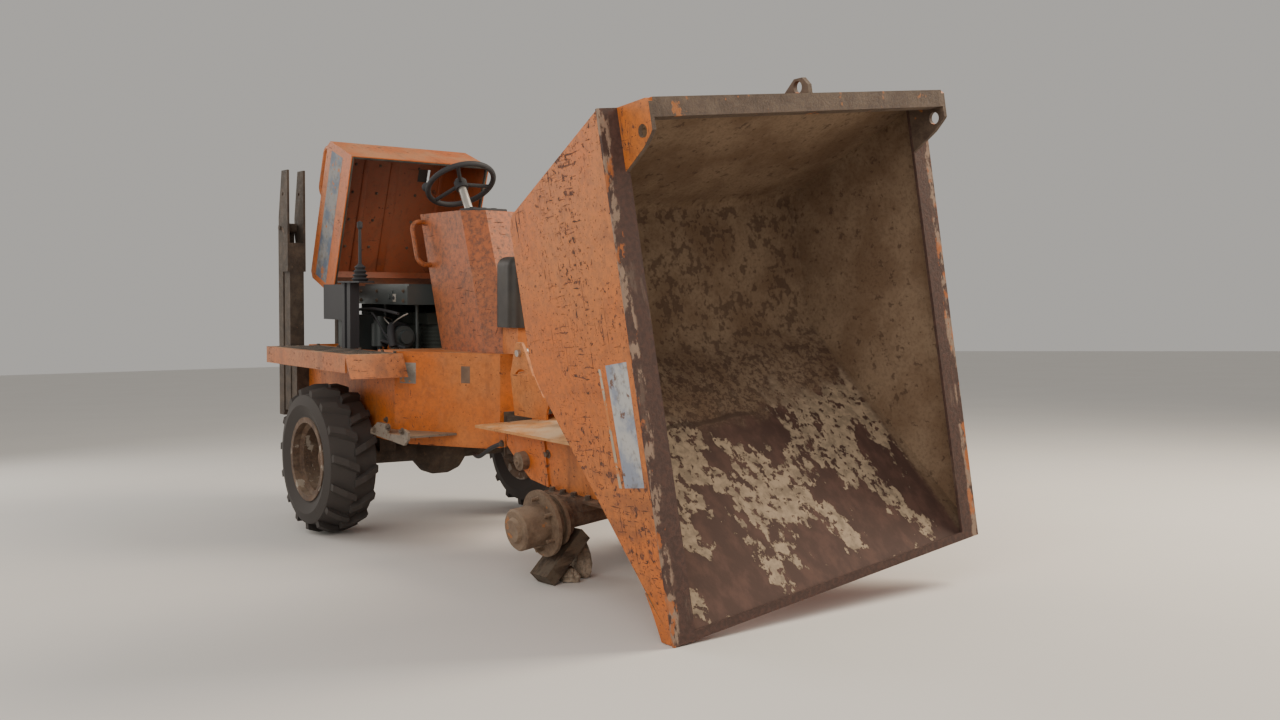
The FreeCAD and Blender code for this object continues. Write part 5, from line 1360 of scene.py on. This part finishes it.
@dataclass
class EngineBay:
    """The open engine bay: iron, sheet, screens, pipes, hoses and a small plate."""

    screen_rear: float = -0.392
    screen_front: float = 0.200
    screen_side: float = 0.266
    screen_low: float = 0.944
    screen_high: float = 1.164
    plate_side: float = -0.280

    def screens(self) -> None:
        """Sheet screens at the bay's rear and left, with a pressed rib along each."""
        mould = Mould("engine_screens", Unit.REAR)
        rear, side, low, high = self.screen_rear, self.screen_side, self.screen_low, self.screen_high
        mould.block((rear, -side, low), (rear + 0.004, side, high), 0.001)
        mould.block((rear, side - 0.004, low), (self.screen_front, side, high), 0.001)
        for height in (low + 0.06, low + 0.15):
            mould.block((rear + 0.004, -side + 0.03, height), (rear + 0.012, side - 0.03, height + 0.03),
                        0.004)
            mould.block((rear + 0.03, side - 0.012, height),
                        (self.screen_front - 0.03, side - 0.004, height + 0.03), 0.004)
        mould.cast(ENGINE_SHEET, "rear_unit")

    def small_plate(self) -> None:
        """The pale square plate with a black button on the shroud's side."""
        plate = Mould("shroud_plate", Unit.REAR)
        plate.block((0.036, self.plate_side - 0.004, 1.178), (0.072, self.plate_side, 1.220), 0.0015)
        plate.cast(PLATE_GREY, "rear_unit")
        button = Mould("shroud_button", Unit.REAR)
        button.rod((0.054, self.plate_side - 0.004, 1.199), (0.054, self.plate_side - 0.010, 1.199), 0.010,
                   0.008)
        button.cast(BLACK_PLASTIC, "rear_unit")

    def build(self, bolts: BoltTree) -> None:
        """Dress the engine.

        Args:
            bolts: The tree that makes bolts.
        """
        dress(ENGINE_IRON, "engine_block")
        dress(ENGINE_SHEET, "engine_shroud", "engine_ancillaries")
        self.screens()
        self.small_plate()
        row = [(x, self.plate_side, z) for x in (-0.36, -0.16, 0.16) for z in (1.185, 1.235)]
        bolts.fit("shroud_bolts", Unit.REAR, row, (0, -1, 0), "rear_unit", "engine_sheet", 0.007)
        pipes = (
            (BLACK_PLASTIC, "fuel_pipe", [(-0.16, -0.27, 1.06), (-0.12, -0.34, 1.13), (0.00, -0.36, 1.10),
                                          (0.06, -0.32, 0.98)], 0.006),
            (BLACK_PLASTIC, "intake_hose", [(0.01, -0.19, 1.04), (0.06, -0.29, 1.07), (0.12, -0.34, 1.03),
                                            (0.15, -0.335, 0.95)], 0.020),
            (BLACK_PLASTIC, "return_hose", [(-0.10, -0.26, 0.94), (-0.02, -0.33, 0.98), (0.10, -0.34, 0.97),
                                            (0.16, -0.27, 0.94)], 0.010),
            (BLACK_PLASTIC, "wiring", [(-0.38, -0.30, 1.13), (-0.20, -0.33, 1.14), (0.02, -0.34, 1.14), (0.20,
                -0.33, 1.12)], 0.008),
            (BRIGHT_STEEL, "injector_pipe", [(-0.12, -0.21, 1.08), (-0.06, -0.30, 1.11), (0.03, -0.30, 1.06),
                                             (0.08, -0.24, 1.00)], 0.004),
            (BRIGHT_STEEL, "leak_pipe", [(0.00, -0.22, 1.06), (0.07, -0.31, 1.05), (0.14, -0.31, 1.09), (0.19,
                -0.27, 1.12)], 0.004))
        for finish, name, points, radius in pipes:
            hose(name, Unit.REAR, points, radius, finish, "rear_unit")


@dataclass
class CoverDress:
    """The raised engine cover: its skin, seal, ribs, lamp, blank band and seat cushion."""

    rear: float = 0.115
    front: float = 0.902
    half: float = 0.414
    foot: float = -0.208
    top: float = 0.122
    wall: float = 0.005
    cushion_low: Place = (0.432, -0.235, 0.122)
    cushion_high: Place = (0.832, 0.235, 0.207)
    swell: float = 0.010
    voxel: float = 0.006
    pressure: float = 4.0
    moments: int = 20
    channels: tuple[float, float] = (0.565, 0.70)
    channel_width: float = 0.006
    channel_depth: float = 0.006
    fold: float = 0.030
    rib_depth: float = 0.005
    hollow: Place = (0.508, 0, -0.108)

    def skin(self) -> None:
        """Three finishes on the shell: brighter outside, darker inside as painted shade, and near-black at
        the rear as painted shade.
        """
        inward = inwards(self.hollow)

        def choose(place: Vector, facing: Vector) -> int:
            """2 on the rear wall, its painted shade; else by the way the face looks."""
            return 2 if place.x < self.rear + 0.01 else inward(place, facing)

        dress_faces(frame["nodes"]["cover_shell"].data, Unit.COVER, (COVER_ORANGE, COVER_INSIDE_SHADED, COVER_PAINTED_SHADE),
                    choose)

    def corner_strips(self) -> None:
        """The folded strips that close the cover's two sloping corners."""
        fold, thick, side = self.fold, 0.003, self.half - 0.0005
        for label, edge, way in (("rear", self.rear, 1), ("front", self.front, -1)):
            mould = Mould("cover_strip_" + label, Unit.COVER)
            outline = [(0.0005, 0.0005 - fold), (fold - 0.0005, -0.0005), (fold + thick, -thick - 0.0005),
                       (thick, -thick - fold)]
            mould.slab([(edge + way * along, -side, self.top + up) for along, up in outline],
                       (0, 2 * side, 0))
            strip = mould.cast(COVER_ORANGE, "engine_cover")
            # Inner faces take the cover's darker copy: painted shade.
            dress_faces(strip.data, Unit.COVER, (COVER_ORANGE, COVER_INSIDE_SHADED), inwards(self.hollow))

    def seal(self) -> None:
        """The rubber seal round the cover's open foot."""
        mould = Mould("cover_seal", Unit.COVER)
        low, high, thick = self.foot, self.foot + 0.018, 0.012
        rear, front, side = self.rear + self.wall, self.front - self.wall, self.half - self.wall
        mould.block((rear, -side, low), (front, -side + thick, high), 0.003)
        mould.block((rear, side - thick, low), (front, side, high), 0.003)
        mould.block((rear, -side + thick, low), (rear + thick, side - thick, high), 0.003)
        mould.block((front - thick, -side + thick, low), (front, side - thick, high), 0.003)
        mould.cast(RUBBER_SEAL, "engine_cover")

    def ribs(self, bolts: BoltTree) -> None:
        """The pressed ribs inside the cover and the bolts that show through.

        Args:
            bolts: The tree that makes bolts.
        """
        ceiling = self.top - self.wall
        mould = Mould("cover_ribs", Unit.COVER)
        for across, wide in ((-0.172, 0.03), (0.0, 0.05), (0.30, 0.03)):
            mould.block((self.rear + 0.04, across - wide / 2, ceiling - self.rib_depth),
                        (self.front - 0.04, across + wide / 2, ceiling), 0.002)
        # The ribs take the cover's darker inner copy: painted shade.
        mould.cast(COVER_INSIDE_SHADED, "engine_cover")
        row = [(x, y, ceiling) for y in (-0.235, -0.09, 0.15) for x in (0.30, 0.46, 0.62, 0.78)]
        bolts.fit("cover_bolts", Unit.COVER, row, (0, 0, -1), "engine_cover", "orange_paint", 0.0055)

    def trim(self) -> None:
        """The blank band on the right side, the amber lamp and the belt's buckle."""
        band = Mould("cover_blank_band", Unit.COVER)
        corners = ((0.15, -0.10), (0.86, -0.10), (0.86, 0.055), (0.15, 0.055))
        band.slab([(x, -self.half - STICKER_THICK, z) for x, z in corners], (0, STICKER_THICK, 0))
        band.cast(COVER_STICKER, "engine_cover")
        lamp = Mould("cover_lamp", Unit.COVER)
        lamp.block((0.37, -0.40, self.top), (0.43, -0.365, self.top + 0.03), 0.006)
        lamp.cast(AMBER_LENS, "engine_cover")
        buckle = Mould("belt_buckle", Unit.COVER)
        buckle.block((0.79, -0.245, 0.165), (0.835, -0.237, 0.19), 0.003)
        buckle.cast(BELT_RED, "engine_cover")

    def cushion(self) -> None:
        """The padded seat: inflated as cloth where time allows, then set flat and tufted."""
        mould = bmesh.new()
        made = bmesh.ops.create_cube(mould, size=1.0)["verts"]
        low = Vector(self.cushion_low) + Vector((self.swell, self.swell, 0.0005))
        high = Vector(self.cushion_high) - Vector((self.swell, self.swell, self.swell * 1.6))
        for vert in made:
            vert.co = Vector([a + (part + 0.5) * (b - a) for a, b, part in zip(low, high, vert.co)])
        upper = [edge for edge in mould.edges if min(vert.co.z for vert in edge.verts) > low.z + 0.01]
        bmesh.ops.bevel(mould, geom=upper, offset=0.02, segments=3, affect="EDGES", profile=0.5)
        unit_frame = STANCE.frame_of(Unit.COVER)
        bmesh.ops.transform(mould, matrix=unit_frame, verts=mould.verts)
        pad = placed("seat_pad", plain_mesh("seat_pad", mould))
        mesh = self.remeshed(pad)
        rest = [vert.co.copy() for vert in mesh.vertices]
        self.inflate(pad, rest)
        self.flatten(pad.data, unit_frame)
        self.tuft(pad.data, unit_frame)
        pad.data.materials.clear()
        pad.data.materials.append(BLACK_VINYL.material())
        for polygon in pad.data.polygons:
            polygon.use_smooth = True
        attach(pad, "engine_cover")
        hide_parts("seat_cushion")
        LOG.info("seat_pad on engine_cover, %d faces", len(pad.data.polygons))

    def remeshed(self, pad: bpy.types.Object) -> bpy.types.Mesh:
        """Give the pad an even mesh of small faces.

        Args:
            pad: The pad.

        Returns:
            Its new mesh.
        """
        modifier = pad.modifiers.new("even", "REMESH")
        modifier.mode = "VOXEL"
        modifier.voxel_size = self.voxel
        mesh = evaluated(pad)
        pad.modifiers.remove(modifier)
        pad.data = mesh
        return mesh

    def inflate(self, pad: bpy.types.Object, rest: list[Vector]) -> None:
        """Let the pad swell as cloth, and cap how far it moves.

        Args:
            pad: The pad, with its even mesh.
            rest: Where its points lay before.
        """
        modifier = pad.modifiers.new("swell", "CLOTH")
        modifier.settings.use_pressure = True
        modifier.settings.uniform_pressure_force = self.pressure
        modifier.settings.effector_weights.gravity = 0.0
        modifier.point_cache.frame_start = 1
        modifier.point_cache.frame_end = self.moments
        scene = bpy.context.scene
        for moment in range(1, self.moments + 1):
            scene.frame_set(moment)
        mesh = evaluated(pad)
        pad.modifiers.remove(modifier)
        pad.data = mesh
        scene.frame_set(1)
        for vert, before in zip(mesh.vertices, rest):
            moved = vert.co - before
            if moved.length > self.swell:
                vert.co = before + moved.normalized() * self.swell

    def flatten(self, mesh: bpy.types.Mesh, unit_frame: Matrix) -> None:
        """Set the pad's underside flat on the cover.

        Args:
            mesh: The pad's mesh.
            unit_frame: The cover's frame.
        """
        back = unit_frame.inverted()
        seat = self.cushion_low[2] + 0.0003
        for vert in mesh.vertices:
            place = back @ vert.co
            if place.z < seat + 0.004:
                place.z = seat
                vert.co = unit_frame @ place

    def tuft(self, mesh: bpy.types.Mesh, unit_frame: Matrix) -> None:
        """Press two sewn channels across the pad and crumple it a little.

        Args:
            mesh: The pad's mesh.
            unit_frame: The cover's frame.
        """
        back = unit_frame.inverted()
        middle = self.cushion_low[2] + 0.03
        for vert in mesh.vertices:
            place = back @ vert.co
            if place.z < middle:
                continue
            press = sum(math.exp(-((place.x - line) / self.channel_width) ** 2) for line in self.channels)
            place.z -= self.channel_depth * press
            place.z += 0.002 * noise.noise(place * 14)
            vert.co = unit_frame @ place

    def build(self, bolts: BoltTree) -> None:
        """Dress the cover.

        Args:
            bolts: The tree that makes bolts.
        """
        self.skin()
        self.corner_strips()
        dress(COVER_ORANGE, "cover_handle")
        self.seal()
        self.ribs(bolts)
        self.trim()
        self.cushion()


@dataclass
class FrontFrame:
    """The front unit: frame, tower, flanges, bare hub, ram and prop."""

    flange_top: float = 0.452
    side: float = 0.330
    gusset_thick: float = 0.008
    stone_scale: float = 19.0
    stone_cut: float = 0.006
    stone_rough: float = 0.007

    def stones(self) -> None:
        """The field stones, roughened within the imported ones."""
        source = frame["nodes"]["prop_stones"].data
        form = bmesh.new()
        form.from_mesh(source)
        bmesh.ops.remove_doubles(form, verts=form.verts, dist=0.0001)
        bmesh.ops.subdivide_edges(form, edges=form.edges, cuts=3, use_grid_fill=True)
        bmesh.ops.recalc_face_normals(form, faces=form.faces)
        form.normal_update()
        for vert in form.verts:
            rough = noise.fractal(vert.co * self.stone_scale, 0.7, 2.1, 4)
            vert.co -= vert.normal * (self.stone_cut + self.stone_rough * rough)
            vert.co.z = max(vert.co.z, 0.0002)
        stones = shown("rough_stones", plain_mesh("rough_stones", form), STONE, "front_unit", 80)
        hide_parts("prop_stones")

    def bolts(self, bolts: BoltTree) -> None:
        """Bolts through the base flanges and the side plates.

        Args:
            bolts: The tree that makes bolts.
        """
        for label, side in (("right", -1), ("left", 1)):
            row = [(x, side * 0.352, self.flange_top) for x in (0.66, 0.74, 0.82, 0.92, 1.02, 1.13)]
            bolts.fit("flange_bolts_" + label, Unit.FRONT, row, (0, 0, 1), "front_unit", "rusty_steel", 0.013)
            row = [(x, side * self.side, 0.60) for x in (0.62, 0.90, 1.12)]
            bolts.fit("side_plate_bolts_" + label, Unit.FRONT, row, (0, side, 0), "front_unit",
                      "orange_paint", 0.012)

    def steering_hose(self) -> None:
        """The pressure hose that crosses the pivot from the rear chassis to its union on the front frame."""
        unit_frame = STANCE.frame_of(Unit.FRONT)
        points = [(-0.26, -0.20, 0.470), (-0.14, -0.25, 0.480), (-0.02, -0.28, 0.520), (0.10, -0.298, 0.570),
                  (0.20, -0.300, 0.596)]
        piece = hose("steering_hose", Unit.FRONT, points, 0.010, BLACK_PLASTIC, None)
        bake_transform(piece)

    def gussets(self) -> None:
        """The gussets that carry the side plates back under the top plates, and the unions' brackets."""
        for label, side in (("right", -1), ("left", 1)):
            mould = Mould("frame_gussets_" + label, Unit.FRONT)
            outline = [(0.30, 0.679), (0.30, 0.605), (0.37, 0.545), (0.47, 0.475), (0.61, 0.458),
                       (0.61, 0.679)]
            mould.slab([(x, side * self.side, z) for x, z in outline], (0, side * self.gusset_thick, 0))
            bracket = ((0.17, 0.679), (0.18, 0.580), (0.22, 0.580), (0.25, 0.679))
            mould.slab([(x, side * 0.296, z) for x, z in bracket], (0, side * self.gusset_thick, 0))
            inner, outer = sorted((side * self.side, side * 0.300))
            mould.block((0.30, inner, 0.671), (0.61, outer, 0.679), 0.001)
            mould.cast(FRONT_ORANGE, "front_unit")

    def small_pieces(self) -> None:
        """The pale bushes on the gussets, their grease nipples and the hose's union."""
        for label, side in (("right", -1), ("left", 1)):
            bush = Mould("frame_bush_" + label, Unit.FRONT)
            seat, shoulder, tip = [(0.44, side * out, 0.555) for out in (0.338, 0.372, 0.380)]
            bush.rod(seat, shoulder, 0.040)
            bush.rod(shoulder, tip, 0.026, 0.020)
            bush.ball(tip, 0.007)
            bush.cast(HUB_RUST, "front_unit")
        union = Mould("hose_union", Unit.FRONT)
        union.rod((0.20, -0.286, 0.596), (0.20, -0.314, 0.596), 0.014, sides=6)
        union.ball((0.20, -0.300, 0.596), 0.017)
        union.cast(BOLT_STEEL, "front_unit")

    def build(self, bolts: BoltTree) -> None:
        """Dress the front unit.

        Args:
            bolts: The tree that makes bolts.
        """
        dress(FRONT_ORANGE, "front_chassis")
        dress(TOP_ORANGE, "chassis_top_plates")
        dress(TOWER_ORANGE, "ram_tower")
        dress(AXLE_RUST, "front_axle", "axle_flanges", "pivot_head")
        dress(HUB_RUST, "bare_hub")
        dress(BRIGHT_STEEL, "front_pins", "ram_rod")
        dress(AXLE_RUST, "ram_barrel")
        dress(BALK, "prop_timber")
        self.stones()
        self.bolts(bolts)
        self.gussets()
        self.steering_hose()
        self.small_pieces()


@dataclass
class Studio:
    """The plain floor, soft lights and the camera of the photograph."""

    camera_place: Place = (4.77981, -2.96888, 0.98195)
    ahead: Place = (-0.798199, 0.602019, -0.021256)
    right: Place = (0.602363, 0.798019, -0.018006)
    up: Place = (-0.006123, 0.027176, 0.999612)
    picture_width: int = 1280
    focal_pixels: float = 1196.2
    sensor: float = 36.0

    def floor(self) -> None:
        """A wide pale floor."""
        form = bmesh.new()
        bmesh.ops.create_grid(form, x_segments=1, y_segments=1, size=40)
        floor = placed("studio_floor", plain_mesh("studio_floor", form))
        floor.data.materials.append(StudioFloor("studio_floor").material())

    def light(self, name: str, place: Place, size: float, power: float, colour: Colour) -> None:
        """A soft square light that faces the machine.

        Args:
            name: The light's name.
            place: Where it hangs.
            size: How wide it is.
            power: Its watts.
            colour: Its colour.
        """
        lamp = bpy.data.lights.new(name, "AREA")
        lamp.size = size
        lamp.energy = power
        lamp.color = colour
        item = placed(name, lamp)
        item.location = place
        item.rotation_euler = (Vector((0.2, 0, 0.8)) - Vector(place)).to_track_quat("-Z", "Y").to_euler()

    def camera(self) -> None:
        """The camera at the photograph's place."""
        data = bpy.data.cameras.new("camera")
        data.sensor_width = self.sensor
        data.lens = self.focal_pixels / self.picture_width * self.sensor
        data.clip_end = 200
        item = placed("camera", data)
        back = -Vector(self.ahead)
        columns = Matrix((self.right, self.up, back)).transposed()
        item.matrix_world = Matrix.Translation(self.camera_place) @ columns.to_4x4()
        bpy.context.scene.camera = item

    def build(self) -> None:
        """Set up the studio."""
        self.floor()
        world = bpy.data.worlds.new("studio")
        bpy.context.scene.world = world
        world.use_nodes = True
        sky = world.node_tree.nodes["Background"]
        sky.inputs[0].default_value = (1.0, 0.96, 0.90, 1.0)
        sky.inputs[1].default_value = 0.46
        self.light("key", (3.0, 4.5, 5.0), 3.5, 520, (1.0, 0.87, 0.70))
        self.light("front", (4.5, -5.0, 3.5), 5.0, 230, (1.0, 0.96, 0.90))
        self.light("fill", (-5.0, -3.0, 3.0), 4.0, 120, (1.0, 0.95, 0.88))
        self.camera()


def main() -> None:
    """Dress the machine, unit by unit, and set up the studio."""
    logging.basicConfig(level=logging.INFO, format="%(name)s: %(message)s")
    bolts = BoltTree()
    slats = SlatTree()
    Studio().build()
    SkipDress().build()
    Wheels().build(bolts)
    RearBody().build(bolts, slats)
    EngineBay().build(bolts)
    CoverDress().build(bolts)
    FrontFrame().build(bolts)


if __name__ == "__main__":
    main()
